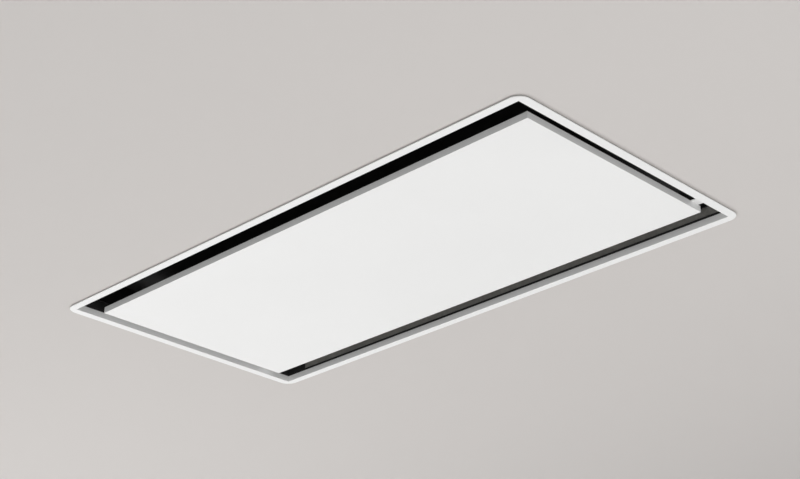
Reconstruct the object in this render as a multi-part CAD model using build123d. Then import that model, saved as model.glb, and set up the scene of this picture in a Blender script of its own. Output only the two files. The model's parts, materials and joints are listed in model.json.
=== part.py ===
from build123d import *
import os
from math import atan2, cos, degrees, radians, sin, sqrt

# Ceiling range hood with a flush white panel and air drawn in round its edge.
# Millimetres. X runs along the long sides, Y along the short sides and Z up. The origin is
# the centre of the visible lower face, so z = 0 is the underside of the flange and of the panel.

# ---------------------------------------------------------------- driving sizes
# Whole hood
hood_length = 1000.0
hood_depth = 500.0
hood_height = 300.0
corner_radius = 20.0

# Trim frame: the white flange that shows below the ceiling, and its upturned return
end_lip = 14.5
side_lip = 13.5
flange_thickness = 1.5
return_height = 10.7
return_wall = 1.2

# Black strip on the return's upper edge, against the housing
trim_seal_height = 3.5

# Foam seal between the flange and the ceiling
gasket_thickness = 2.0
gasket_inset = 1.5
gasket_clearance = 0.5

# Housing of folded sheet
housing_sheet = 1.0
fold_width = 12.0
fold_clearance = 4.0
rivet_radius = 2.0
rivet_head_radius = 4.0
rivet_head_height = 1.0
corner_rivets = 3
top_rivets = 5
hanger_inset_x = 47.7
hanger_inset_y = 38.7
hanger_hole_radius = 4.5
hanger_plate_length = 60.0
hanger_plate_width = 34.0
hanger_plate_thickness = 3.0

# Intake: black liner walls and the baffle plate that holds the filters
liner_bottom = 29.0
liner_sheet = 1.0
liner_hem = 3.0
liner_strip_end = 45.0
liner_seal_gap = 0.5
liner_bracket_gap = 0.5
baffle_underside = 70.0
baffle_sheet = 1.2
angle_leg = 12.0
angle_sheet = 1.2
angle_end_gap = 40.0
baffle_screws_per_side = 4

# Perimeter panel
end_gap = 19.8
side_gap = 41.0
panel_height = 10.45
panel_sheet = 1.2
panel_hem = 14.0
stiffener_inset = 95.5
stiffener_width = 30.0
stiffener_rim = 10.0
stiffener_height = 8.0
stiffener_sheet = 1.0
stiffener_end_gap = 26.0
pad_thickness = 3.0
pad_margin = 5.0

# Panel hinge, near the far long side
hinge_inset = 14.0
hinge_height = 20.0
hinge_pin_radius = 3.0
running_clearance = 0.05
arm_sheet = 1.5
arm_width = 18.0
arm_reach_in = 32.0
moving_clearance = 0.3
arm_to_opening = 3.5
hinge_bracket_width = 28.0
hinge_bracket_gap = 1.3
pin_head_radius = 5.5
pin_head_height = 2.0

# Touch catches, near the other long side
catch_filter_gap = 5.0
catch_width = 22.0
catch_roof = 6.0
catch_ear = 9.0
catch_ear_thickness = 2.0
plunger_radius = 6.0
plunger_collar_radius = 8.0
plunger_collar_height = 4.0
plunger_guide = 7.0
plunger_reach = 3.7
striker_thickness = 1.8
striker_width = 26.0
spring_wire = 0.8

# Grease filters
filter_length = 300.0
filter_width = 220.0
filter_thickness = 9.0
filter_gap = 90.0
filter_play = 2.0
filter_sheet = 1.0
filter_rim = 14.0
filter_web_thickness = 1.0
filter_hook_length = 8.0
filter_hook_width = 30.0
filter_hook_sheet = 1.2
filter_hook_offset = 90.0
bail_width = 70.0
bail_drop = 18.0
bail_wire_radius = 1.5
bail_inset = 10.0
bail_lug_thickness = 2.5
bail_lug_drop = 4.0
clip_width = 16.0
clip_sheet = 0.8
clip_height = 11.0
clip_foot = 12.0
clip_gap = 0.6
clip_offset = 90.0

# Blower: a double-inlet scroll whose axis lies along X
impeller_radius = 64.0
impeller_length = 128.0
blade_depth = 13.0
impeller_rim = 2.0
blade_count = 36
blade_thickness = 1.2
blade_tilt = 30.0
impeller_hub_radius = 14.0
impeller_hub_length = 24.0
scroll_gap = 5.0
scroll_growth = 12.0
scroll_side_gap = 8.0
scroll_wall = 2.0
tongue_step = 11.6
scroll_outlet_drop = 20.0
inlet_step = 7.0
inlet_flange = 9.0
inlet_lip = 3.0
inlet_wall = 2.0
blower_hanger_width = 50.0
blower_hanger_foot = 26.0
blower_hanger_height = 14.0
blower_hanger_sheet = 1.5
blower_hanger_gap = 2.0

# Motor, inside the left half of the impeller
motor_air_gap = 11.0
motor_wall = 2.0
motor_front_gap = 2.0
stator_length = 36.0
rotor_radius = 22.0
rotor_gap = 0.6
rotor_length = 32.0
shaft_radius = 4.0
bearing_radius = 11.0
bearing_width = 7.0
shaft_tail = 2.0
spider_sheet = 2.0
spider_hub_radius = 24.0
spider_arm_width = 14.0
spider_arm_angles = (30.0, 150.0, 270.0)
rubber_radius = 6.0
rubber_length = 6.0
rubber_gap = 1.0
rubber_bore_radius = 2.0

# Outlet: adapter, collar for a 150 mm duct and two damper flaps
adapter_wall = 1.2
collar_radius = 74.5
collar_wall = 1.2
collar_height = 45.0
collar_flange = 12.0
collar_flange_thickness = 1.5
collar_screws = 4
damper_height = 16.0
damper_rod_radius = 2.0
damper_rod_inset = 0.3
knuckle_radius = 4.0
knuckle_length = 18.0
knuckle_gap = 0.5
knuckle_wall_gap = 6.3
knuckle_count = 4
flap_thickness = 1.2
flap_edge_gap = 1.3

# Electrical parts
box_length = 150.0
box_width = 160.0
box_height = 50.0
box_sheet = 1.2
box_from_left = 67.7
box_from_back = 57.7
standoff_radius = 4.0
standoff_height = 10.0
standoff_inset = 8.0
board_thickness = 1.6
board_margin = 8.0
terminal_length = 60.0
terminal_width = 18.0
terminal_height = 16.0
terminal_ways = 5
terminal_hole_radius = 2.2
gland_inset = 26.0
gland_bore_radius = 4.5
gland_body_radius = 8.0
gland_flange_radius = 12.0
gland_rise = 12.0
gland_drop = 11.0
gland_flange_height = 3.0
capacitor_radius = 17.0
capacitor_length = 60.0
capacitor_inset_x = 86.7
capacitor_inset_y = 87.7

# Screws
screw_radius = 2.0
screw_head_radius = 3.8
screw_head_height = 1.6
screw_grip = 4.0

# ---------------------------------------------------------------- derived places
opening_x = hood_length / 2 - end_lip
opening_y = hood_depth / 2 - side_lip
inner_x = opening_x + return_wall
inner_y = opening_y + return_wall
outer_x = inner_x + housing_sheet
outer_y = inner_y + housing_sheet
panel_x = opening_x - end_gap
panel_y = opening_y - side_gap
top_under = hood_height - housing_sheet
baffle_top = baffle_underside + baffle_sheet

hanger_x = outer_x - hanger_inset_x
hanger_y = outer_y - hanger_inset_y

hinge_y = panel_y - hinge_inset
ear_outer_x = opening_x - arm_to_opening
ear_inner_x = ear_outer_x - arm_sheet

trim_seal_top = return_height + trim_seal_height
liner_low = trim_seal_top + liner_seal_gap
hinge_bracket_bottom = trim_seal_top + hinge_bracket_gap

stiffener_y = panel_y - stiffener_inset
stiffener_top = panel_sheet + stiffener_height
striker_top = stiffener_top + striker_thickness
plunger_bottom = striker_top + moving_clearance
catch_bottom = plunger_bottom + plunger_reach
collar_shelf = catch_bottom + plunger_guide
spring_bottom = collar_shelf + moving_clearance + plunger_collar_height
spring_top = baffle_underside - catch_roof

filter_centre = (filter_gap + filter_length) / 2
filter_edge = filter_width / 2
filter_bottom = baffle_underside
filter_top = filter_bottom + filter_thickness
window_edge = filter_edge + filter_play
hook_under = baffle_top + 2 * moving_clearance
bail_pivot_y = bail_inset - filter_edge
bail_pivot_z = filter_bottom - bail_lug_drop

window_end = filter_centre + filter_length / 2 + filter_play
catch_x = window_end + catch_filter_gap + catch_ear + catch_width / 2
catch_y = -stiffener_y

impeller_inner_radius = impeller_radius - blade_depth
inlet_radius = impeller_radius - inlet_step
blower_height = top_under - blower_hanger_height - blower_hanger_gap - inlet_flange - inlet_radius
scroll_first_radius = impeller_radius + scroll_gap
tongue_offset = impeller_radius - tongue_step
scroll_shift = scroll_growth / 2
scroll_right = scroll_shift + scroll_first_radius + 3 * scroll_growth
blower_y = -(tongue_offset + scroll_right) / 2
scroll_side = impeller_length / 2 + scroll_side_gap
scroll_side_outer = scroll_side + scroll_wall
scroll_outlet_z = top_under - scroll_outlet_drop

motor_front = -(impeller_hub_length / 2 + motor_front_gap)
motor_back = -(scroll_side_outer + rubber_length)
motor_radius = impeller_inner_radius - motor_air_gap
stator_bore_radius = rotor_radius + rotor_gap
spider_mount_radius = inlet_radius + inlet_flange + rubber_gap + rubber_radius

collar_inner = collar_radius - collar_wall
damper_z = hood_height + damper_height
knuckle_reach = collar_inner - knuckle_wall_gap - knuckle_length / 2

box_low_x = box_from_left - outer_x
box_low_y = inner_y - box_from_back - box_width
box_under = top_under - box_height
gland_x = box_low_x + box_length - gland_inset
gland_y = box_low_y + gland_inset
capacitor_x = inner_x - capacitor_inset_x
capacitor_y = inner_y - capacitor_inset_y


# ---------------------------------------------------------------- helpers
def block(x, y, z):
    """A box between the low and high values given for each axis."""
    spans = (x, y, z)
    centre = [(low + high) / 2 for low, high in spans]
    size = [high - low for low, high in spans]
    return Pos(*centre) * Box(*size)


def rod(start, end, radius):
    """A round bar from one point to another."""
    line = Vector(*end) - Vector(*start)
    return extrude(Plane(origin=start, z_dir=line) * Circle(radius), amount=line.length)


def rod_x(x, y, z, radius):
    """A round bar along X, between the two values of x."""
    return rod((x[0], y, z), (x[1], y, z), radius)


def rod_z(x, y, z, radius):
    """A round bar along Z, between the two values of z."""
    return rod((x, y, z[0]), (x, y, z[1]), radius)


def ring(outer, inner, z):
    """A rectangular frame: half sizes of its outside and inside, and its span in Z."""
    (outer_half_x, outer_half_y), (inner_half_x, inner_half_y) = outer, inner
    solid = block((-outer_half_x, outer_half_x), (-outer_half_y, outer_half_y), z)
    return solid - block((-inner_half_x, inner_half_x), (-inner_half_y, inner_half_y), z)


def flipped_x(shape):
    """The same shape on the other side of the YZ plane."""
    return mirror(shape, about=Plane.YZ)


def flipped_y(shape):
    """The same shape on the other side of the XZ plane."""
    return mirror(shape, about=Plane.XZ)


def spread(half_span, count):
    """Evenly spaced places from -half_span to half_span."""
    step = 2 * half_span / (count - 1)
    return [index * step - half_span for index in range(count)]


def screw(point, direction, grip):
    """A pan-head screw: the head's seat is at point and the shank runs along direction."""
    seat = Vector(*point)
    way = Vector(*direction).normalized()
    shank = rod(tuple(seat), tuple(seat + way * grip), screw_radius)
    head = rod(tuple(seat - way * screw_head_height), tuple(seat), screw_head_radius)
    return shank + head


def rivet(point, direction, grip):
    """A blind rivet: the head's seat is at point and the shank runs along direction."""
    seat = Vector(*point)
    way = Vector(*direction).normalized()
    shank = rod(tuple(seat), tuple(seat + way * grip), rivet_radius)
    head = rod(tuple(seat - way * rivet_head_height), tuple(seat), rivet_head_radius)
    return shank + head


def drilled(shape, fasteners):
    """The shape with a hole for each fastener that passes through it."""
    for fastener in fasteners:
        shape = shape - fastener
    return shape


def save(name, *shapes):
    """Write one node's solids to its file."""
    solids = [solid for shape in shapes for solid in shape.solids()]
    export_step(solids[0] if len(solids) == 1 else Compound(solids), f"parts/{name}.step")


# ---------------------------------------------------------------- trim frame and gasket
def trim_frame():
    """White flange with round outer corners, and the return that stands round the opening."""
    outline = RectangleRounded(hood_length, hood_depth, corner_radius)
    hole = Rectangle(2 * opening_x, 2 * opening_y)
    flange = extrude(outline - hole, amount=flange_thickness)
    upstand = ring((inner_x, inner_y), (opening_x, opening_y), (0, return_height))
    return flange + upstand


def trim_seal():
    """Strip that closes the joint between the return and the housing walls."""
    return ring((inner_x, inner_y), (opening_x, opening_y), (return_height, trim_seal_top))


def ceiling_gasket():
    """Foam strip on the flange, all round the housing."""
    outline = RectangleRounded(
        hood_length - 2 * gasket_inset,
        hood_depth - 2 * gasket_inset,
        corner_radius - gasket_inset,
    )
    hole = Rectangle(2 * (outer_x + gasket_clearance), 2 * (outer_y + gasket_clearance))
    return Pos(0, 0, flange_thickness) * extrude(outline - hole, amount=gasket_thickness)


# ---------------------------------------------------------------- housing
fold_low = baffle_top + angle_leg + fold_clearance
fold_high = top_under - housing_sheet - fold_clearance
wall_fold_y = inner_y - housing_sheet


def corner_rivet_places():
    """X and Z of the rivets that join a long wall to the end walls' folds."""
    middle = (fold_low + fold_high) / 2
    reach = (fold_high - fold_low) / 2 - fold_width
    rivet_x = inner_x - fold_width / 2
    return [(x, middle + up) for x in (-rivet_x, rivet_x) for up in spread(reach, corner_rivets)]


def back_wall_rivets():
    """Rivets through the back wall into the end walls' folds."""
    return [
        rivet((x, outer_y, z), (0, -1, 0), 2 * housing_sheet) for x, z in corner_rivet_places()
    ]


def top_rivet_set():
    """Rivets through the top into the flange of the back wall."""
    reach = inner_x - 2 * fold_width
    return [
        rivet((x, inner_y - fold_width / 2, hood_height), (0, 0, -1), 2 * housing_sheet)
        for x in spread(reach, top_rivets)
    ]


def housing_back():
    """Long wall on the far side, with a flange along its top."""
    wall = block((-outer_x, outer_x), (inner_y, outer_y), (flange_thickness, top_under))
    flange = block(
        (-inner_x + housing_sheet, inner_x - housing_sheet),
        (inner_y - fold_width, inner_y),
        (top_under - housing_sheet, top_under),
    )
    return drilled(wall + flange, back_wall_rivets() + top_rivet_set())


def housing_right_end():
    """Short wall between the long ones, with a fold at each side."""
    wall = block((inner_x, outer_x), (-inner_y, inner_y), (flange_thickness, top_under))
    fold = block((inner_x - fold_width, inner_x), (wall_fold_y, inner_y), (fold_low, fold_high))
    return drilled(wall + fold + flipped_y(fold), corner_rivets_all())


def corner_rivets_all():
    """Corner rivets of both long walls."""
    back = back_wall_rivets()
    return back + [flipped_y(one) for one in back]


def top_rivets_all():
    """Rivets along both long edges of the top."""
    back = top_rivet_set()
    return back + [flipped_y(one) for one in back]


def hanger_places():
    """Centres of the four holes for the hanging rods."""
    return [(x, y) for x in (-hanger_x, hanger_x) for y in (-hanger_y, hanger_y)]


def hanger_holes(z):
    """Four round cutters for the hanging rods."""
    return [rod_z(x, y, z, hanger_hole_radius) for x, y in hanger_places()]


def housing_top():
    """Flat top with the outlet, the hanging holes, the cable entry and its fixings."""
    span = (top_under, hood_height)
    plate = block((-outer_x, outer_x), (-outer_y, outer_y), span)
    plate = plate - rod_z(0, 0, span, collar_inner)
    plate = plate - rod_z(gland_x, gland_y, span, gland_body_radius)
    return drilled(plate, hanger_holes(span) + top_rivets_all() + collar_screw_set())


def hanger_plates():
    """Four thick plates under the top that spread the load of the hanging rods."""
    span = (top_under - hanger_plate_thickness, top_under)
    plates = []
    for x, y in hanger_places():
        half_length = hanger_plate_length / 2
        half_width = hanger_plate_width / 2
        plate = block((x - half_length, x + half_length), (y - half_width, y + half_width), span)
        plates.append(plate - rod_z(x, y, span, hanger_hole_radius))
    return plates


# ---------------------------------------------------------------- intake liner and baffle
def liner_back():
    """Black sheet on the far long wall, with a hem along its lower edge."""
    half = inner_x - liner_sheet
    wall = block((-half, half), (inner_y - liner_sheet, inner_y), (liner_bottom, baffle_underside))
    hem = block(
        (-half + liner_hem, half - liner_hem),
        (inner_y - liner_hem, inner_y),
        (liner_bottom, liner_bottom + liner_sheet),
    )
    return wall + hem


def liner_right():
    """Black sheet on the right end wall, with a hem along its lower edge."""
    wall = block((inner_x - liner_sheet, inner_x), (-inner_y, inner_y), (liner_bottom, baffle_underside))
    hem = block(
        (inner_x - liner_hem, inner_x),
        (liner_sheet - inner_y, inner_y - liner_sheet),
        (liner_bottom, liner_bottom + liner_sheet),
    )
    return wall + hem


def liner_left():
    """Black sheet on the left end wall, down to the trim's seal, with room for the hinge bracket."""
    wall_x = (-inner_x, liner_sheet - inner_x)
    apron = block(wall_x, (-inner_y, inner_y), (liner_low, liner_bottom))
    notch = hinge_bracket_width / 2 + liner_bracket_gap
    bracket_space = block(wall_x, (hinge_y - notch, hinge_y + notch), (liner_low, liner_bottom))
    return flipped_x(liner_right()) + apron - bracket_space


def liner_strip():
    """Low black strip on the far long wall, beside the left end's sheet."""
    return block(
        (liner_sheet - inner_x, liner_strip_end - inner_x),
        (inner_y - liner_sheet, inner_y),
        (liner_low, liner_bottom),
    )


def baffle_screw_places():
    """X places of the screws along each long edge of the baffle plate."""
    return spread(inner_x - angle_end_gap - 2 * angle_leg, baffle_screws_per_side)


def baffle_screw_set():
    """Screws from below, through the baffle plate into the angles."""
    y = inner_y - angle_leg / 2
    return [
        screw((x, side * y, baffle_underside), (0, 0, 1), baffle_sheet + angle_sheet)
        for x in baffle_screw_places()
        for side in (-1, 1)
    ]


def baffle_angles():
    """Angle strips on the long walls that the baffle plate is screwed to."""
    half = inner_x - angle_end_gap
    upright = block((-half, half), (inner_y - angle_sheet, inner_y), (baffle_top, baffle_top + angle_leg))
    foot = block((-half, half), (inner_y - angle_leg, inner_y), (baffle_top, baffle_top + angle_sheet))
    back = drilled(upright + foot, baffle_screw_set())
    return [back, flipped_y(back)]


def filter_window():
    """Cutter for the opening that the right filter sits in."""
    half = filter_length / 2 + filter_play
    return block(
        (filter_centre - half, filter_centre + half),
        (-window_edge, window_edge),
        (baffle_underside, baffle_top),
    )


def baffle_plate():
    """Black plate above the panel, with an opening for each filter."""
    plate = block((-inner_x, inner_x), (-inner_y, inner_y), (baffle_underside, baffle_top))
    window = filter_window()
    plate = plate - window - flipped_x(window)
    return drilled(plate, baffle_screw_set() + catch_screw_set())


# ---------------------------------------------------------------- grease filters
def bail_lug_places():
    """X spans of the two lugs that carry the right filter's bail."""
    outer = bail_width / 2 - 2 * bail_wire_radius
    inner = outer - bail_lug_thickness
    return [
        (filter_centre + inner, filter_centre + outer),
        (filter_centre - outer, filter_centre - inner),
    ]


def filter_frame():
    """Right filter's frame: a folded channel with two hooks and the lugs of its bail."""
    half = filter_length / 2
    x = (filter_centre - half, filter_centre + half)
    y = (-filter_edge, filter_edge)
    body = block(x, y, (filter_bottom, filter_top))
    window = block(
        (x[0] + filter_rim, x[1] - filter_rim),
        (y[0] + filter_rim, y[1] - filter_rim),
        (filter_bottom, filter_top),
    )
    channel = block(
        (x[0] + filter_sheet, x[1] - filter_sheet),
        (y[0] + filter_sheet, y[1] - filter_sheet),
        (filter_bottom + filter_sheet, filter_top - filter_sheet),
    )
    body = body - window - channel
    for offset in (-filter_hook_offset, filter_hook_offset):
        hook_x = filter_centre + offset
        body = body + block(
            (hook_x - filter_hook_width / 2, hook_x + filter_hook_width / 2),
            (filter_edge, filter_edge + filter_hook_length),
            (hook_under, hook_under + filter_hook_sheet),
        )
    hole_radius = bail_wire_radius + running_clearance
    lug_radius = hole_radius + filter_sheet
    for lug_x in bail_lug_places():
        stem = block(
            lug_x,
            (bail_pivot_y - lug_radius, bail_pivot_y + lug_radius),
            (bail_pivot_z, filter_bottom),
        )
        eye = rod_x(lug_x, bail_pivot_y, bail_pivot_z, lug_radius)
        body = body + stem + eye
        body = body - rod_x(lug_x, bail_pivot_y, bail_pivot_z, hole_radius)
    return body


def filter_mesh():
    """Two expanded sheets inside the right filter's channel."""
    half = filter_length / 2 - filter_sheet
    x = (filter_centre - half, filter_centre + half)
    y = (filter_sheet - filter_edge, filter_edge - filter_sheet)
    low = filter_bottom + filter_sheet
    high = filter_top - filter_sheet
    return [
        block(x, y, (low, low + filter_web_thickness)),
        block(x, y, (high - filter_web_thickness, high)),
    ]


def filter_bail():
    """Right filter's wire handle, hanging down from its two lugs."""
    reach = bail_width / 2
    inner = reach - 2 * bail_wire_radius - bail_lug_thickness - bail_wire_radius
    low_z = bail_pivot_z - bail_drop
    bail = rod_x(
        (filter_centre - reach, filter_centre + reach), bail_pivot_y, low_z, bail_wire_radius
    )
    for side in (-1, 1):
        corner_x = filter_centre + side * reach
        leg = rod_z(corner_x, bail_pivot_y, (low_z, bail_pivot_z), bail_wire_radius)
        ends = sorted((corner_x, filter_centre + side * inner))
        pin = rod_x(ends, bail_pivot_y, bail_pivot_z, bail_wire_radius)
        low_ball = Pos(corner_x, bail_pivot_y, low_z) * Sphere(bail_wire_radius)
        high_ball = Pos(corner_x, bail_pivot_y, bail_pivot_z) * Sphere(bail_wire_radius)
        bail = bail + leg + pin + low_ball + high_ball
    return bail


def filter_clips():
    """Spring leaves that stand on the baffle plate and press on the filters' near edges."""
    clips = []
    leaf_y = -(filter_edge + clip_gap)
    for centre in (-filter_centre, filter_centre):
        for offset in (-clip_offset, clip_offset):
            x = (centre + offset - clip_width / 2, centre + offset + clip_width / 2)
            foot = block(x, (-window_edge - clip_foot, -window_edge), (baffle_top, baffle_top + clip_sheet))
            bridge = block(
                x, (-window_edge, leaf_y - clip_sheet), (baffle_top, baffle_top + clip_sheet)
            )
            leaf = block(x, (leaf_y - clip_sheet, leaf_y), (baffle_top, baffle_top + clip_height))
            clips.append(foot + bridge + leaf)
    return clips


# ---------------------------------------------------------------- perimeter panel
def panel_skin():
    """White tray: the face, its folded sides and a hem turned inwards."""
    face = block((-panel_x, panel_x), (-panel_y, panel_y), (0, panel_sheet))
    inside = (panel_x - panel_sheet, panel_y - panel_sheet)
    sides = ring((panel_x, panel_y), inside, (0, panel_height))
    hem = ring(
        (panel_x, panel_y),
        (panel_x - panel_hem, panel_y - panel_hem),
        (panel_height - panel_sheet, panel_height),
    )
    return drilled(face + sides + hem, panel_rivet_set())


def panel_stiffeners():
    """Two hat sections along the inside of the panel."""
    half = panel_x - stiffener_end_gap
    half_width = stiffener_width / 2
    inside = half_width - stiffener_sheet
    rails = []
    for y in (-stiffener_y, stiffener_y):
        hat = block((-half, half), (y - half_width, y + half_width), (panel_sheet, stiffener_top))
        hollow = block(
            (-half, half), (y - inside, y + inside), (panel_sheet, stiffener_top - stiffener_sheet)
        )
        rims = block(
            (-half, half),
            (y - half_width - stiffener_rim, y + half_width + stiffener_rim),
            (panel_sheet, panel_sheet + stiffener_sheet),
        ) - block((-half, half), (y - half_width, y + half_width), (panel_sheet, stiffener_top))
        rails.append(hat - hollow + rims)
    return rails


def panel_pad():
    """Damping sheet on the inside of the face, between the stiffeners."""
    half_x = panel_x - stiffener_end_gap
    half_y = stiffener_y - stiffener_width / 2 - stiffener_rim - pad_margin
    return block((-half_x, half_x), (-half_y, half_y), (panel_sheet, panel_sheet + pad_thickness))


def panel_strikers():
    """Steel plates that the catches' magnets hold."""
    half = striker_width / 2
    return [
        block(
            (x - half, x + half),
            (catch_y - half, catch_y + half),
            (stiffener_top, striker_top),
        )
        for x in (-catch_x, catch_x)
    ]


def panel_rivet_set():
    """Two rivets that hold each hinge arm to the panel's end hem."""
    grip = arm_sheet + panel_sheet
    x = panel_x - panel_hem / 2
    top = panel_height + arm_sheet
    places = [(side * x, hinge_y + along) for side in (-1, 1) for along in (-arm_width / 4, arm_width / 4)]
    return [rivet((place_x, place_y, top), (0, 0, -1), grip) for place_x, place_y in places]


def hinge_arm():
    """Right hinge arm: a white plate on the hem that turns up into an ear."""
    half = arm_width / 2
    y = (hinge_y - half, hinge_y + half)
    plate_top = panel_height + arm_sheet
    plate = block((panel_x - arm_reach_in, ear_outer_x), y, (panel_height, plate_top))
    upright = block((ear_inner_x, ear_outer_x), y, (panel_height, hinge_height))
    head = rod_x((ear_inner_x, ear_outer_x), hinge_y, hinge_height, half)
    hole = rod_x(
        (ear_inner_x, ear_outer_x), hinge_y, hinge_height, hinge_pin_radius + running_clearance
    )
    return drilled(plate + upright + head - hole, panel_rivet_set())


def hinge_brackets():
    """Blocks on the end walls, between the trim's seal and the liner, that hold the pins."""
    half = hinge_bracket_width / 2
    right = block(
        (ear_outer_x + moving_clearance, inner_x),
        (hinge_y - half, hinge_y + half),
        (hinge_bracket_bottom, liner_bottom),
    )
    right = right - hinge_pin()
    return [right, flipped_x(right)]


def hinge_pin():
    """Shoulder pin of the right hinge arm, with its head on the inner side."""
    head_outer = ear_inner_x - moving_clearance
    shank = rod_x((head_outer, inner_x), hinge_y, hinge_height, hinge_pin_radius)
    head = rod_x((head_outer - pin_head_height, head_outer), hinge_y, hinge_height, pin_head_radius)
    return shank + head


# ---------------------------------------------------------------- touch catches
def catch_screw_set():
    """Two screws that hold each catch up to the baffle plate."""
    offset = catch_width / 2 + catch_ear / 2
    seat = baffle_underside - catch_ear_thickness
    return [
        screw((side * catch_x + step, catch_y, seat), (0, 0, 1), catch_ear_thickness + screw_grip)
        for side in (-1, 1)
        for step in (-offset, offset)
    ]


def catch_body():
    """Right catch: a black post with ears, bored for its plunger and spring."""
    half = catch_width / 2
    y = (catch_y - half, catch_y + half)
    post = block((catch_x - half, catch_x + half), y, (catch_bottom, baffle_underside))
    ears = block(
        (catch_x - half - catch_ear, catch_x + half + catch_ear),
        y,
        (baffle_underside - catch_ear_thickness, baffle_underside),
    )
    guide = rod_z(
        catch_x, catch_y, (catch_bottom, collar_shelf), plunger_radius + running_clearance
    )
    bore = rod_z(
        catch_x, catch_y, (collar_shelf, spring_top), plunger_collar_radius + moving_clearance
    )
    return drilled(post + ears - guide - bore, catch_screw_set())


def catch_plunger():
    """Right catch's plunger, with a collar that keeps it in the post."""
    shank = rod_z(catch_x, catch_y, (plunger_bottom, spring_bottom), plunger_radius)
    collar = rod_z(
        catch_x, catch_y, (collar_shelf + moving_clearance, spring_bottom), plunger_collar_radius
    )
    return shank + collar


def catch_spring():
    """Outer shape of the right catch's return spring, above its plunger."""
    span = (spring_bottom, spring_top)
    outer = rod_z(catch_x, catch_y, span, plunger_collar_radius - moving_clearance)
    return outer - rod_z(catch_x, catch_y, span, plunger_collar_radius - moving_clearance - spring_wire)


# ---------------------------------------------------------------- blower
def blower_plane(x):
    """Sketch plane across the blower's axis: its first axis is Y and its second is Z."""
    return Plane(origin=(x, blower_y, blower_height), x_dir=(0, 1, 0), z_dir=(1, 0, 0))


def scroll_outline(extra):
    """Face of the scroll seen along X, let out by extra all round."""
    shift = scroll_shift
    top = scroll_outlet_z - blower_height
    radii = [scroll_first_radius + step * scroll_growth + extra for step in range(4)]
    centres = [(-shift, shift), (-shift, -shift), (shift, -shift), (shift, shift)]
    inner_u = tongue_offset - extra
    start_v = shift + sqrt(radii[0] ** 2 - (inner_u + shift) ** 2)
    start_angle = degrees(atan2(start_v - shift, inner_u + shift))
    outer_u = scroll_right + extra
    edges = [
        Line((inner_u, top), (inner_u, start_v)),
        CenterArc(centres[0], radii[0], start_angle, 90 - start_angle),
        CenterArc(centres[1], radii[1], 90, 90),
        CenterArc(centres[2], radii[2], 180, 90),
        CenterArc(centres[3], radii[3], 270, 90),
        Line((outer_u, shift), (outer_u, top)),
        Line((outer_u, top), (inner_u, top)),
    ]
    return make_face(edges)


def scroll_half():
    """Right half of the scroll: a side plate with the air inlet, and half of the rim."""
    outer = extrude(blower_plane(0) * scroll_outline(scroll_wall), amount=scroll_side_outer)
    inner = extrude(blower_plane(0) * scroll_outline(0), amount=scroll_side)
    inlet = rod_x((0, scroll_side_outer), blower_y, blower_height, inlet_radius)
    return outer - inner - inlet


def inlet_ring():
    """Rolled ring in the right inlet."""
    lip = rod_x(
        (scroll_side - inlet_lip, scroll_side_outer), blower_y, blower_height, inlet_radius
    )
    flange = rod_x(
        (scroll_side_outer, scroll_side_outer + inlet_wall),
        blower_y,
        blower_height,
        inlet_radius + inlet_flange,
    )
    mouth = rod_x(
        (scroll_side - inlet_lip, scroll_side_outer + inlet_wall),
        blower_y,
        blower_height,
        inlet_radius - inlet_wall,
    )
    return lip + flange - mouth


def impeller_disc():
    """Centre disc of the drum, with its hub."""
    hub_span = (-impeller_hub_length / 2, impeller_hub_length / 2)
    disc = blower_cylinder((-impeller_rim / 2, impeller_rim / 2), impeller_radius)
    disc = disc + blower_cylinder(hub_span, impeller_hub_radius)
    return disc - blower_cylinder(hub_span, shaft_radius)


def impeller_rims():
    """Ring round each end of the drum."""
    half = impeller_length / 2
    rims = []
    for low in (-half, half - impeller_rim):
        span = (low, low + impeller_rim)
        outer = blower_cylinder(span, impeller_radius)
        rims.append(outer - blower_cylinder(span, impeller_inner_radius))
    return rims


def impeller_blades():
    """Forward-leaning blades on both sides of the disc, each from the disc to a rim."""
    length = impeller_length / 2 - impeller_rim / 2 - impeller_rim
    middle = impeller_inner_radius + blade_depth / 2
    blade = Pos(middle, 0) * Rot(0, 0, blade_tilt) * Rectangle(blade_depth, blade_thickness)
    step = 360 / blade_count
    blades = []
    for start in (impeller_rim - impeller_length / 2, impeller_rim / 2):
        plane = blower_plane(start)
        for index in range(blade_count):
            blades.append(extrude(plane * Rot(0, 0, index * step) * blade, amount=length))
    return blades


def blower_cylinder(x, radius):
    """A cylinder on the blower's axis."""
    return rod_x(x, blower_y, blower_height, radius)


def motor_shaft():
    """Shaft with the rotor's laminations on it."""
    shaft = blower_cylinder((motor_back - shaft_tail, impeller_hub_length / 2), shaft_radius)
    middle = (motor_front + motor_back) / 2
    rotor = blower_cylinder((middle - rotor_length / 2, middle + rotor_length / 2), rotor_radius)
    return shaft + rotor


def motor_shell():
    """Round motor case with a bearing seat in each end."""
    case = blower_cylinder((motor_back, motor_front), motor_radius)
    seat_inner = bearing_width
    cavity = blower_cylinder(
        (motor_back + seat_inner + motor_wall, motor_front - seat_inner - motor_wall),
        motor_radius - motor_wall,
    )
    back_seat = blower_cylinder((motor_back, motor_back + bearing_width), bearing_radius)
    front_seat = blower_cylinder((motor_front - bearing_width, motor_front), bearing_radius)
    passage = blower_cylinder((motor_back, motor_front), shaft_radius + motor_wall)
    return case - cavity - back_seat - front_seat - passage


def motor_stator():
    """Ring of laminations that fills the case round the rotor."""
    middle = (motor_front + motor_back) / 2
    span = (middle - stator_length / 2, middle + stator_length / 2)
    ring_outer = blower_cylinder(span, motor_radius - motor_wall)
    return ring_outer - blower_cylinder(span, stator_bore_radius)


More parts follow.
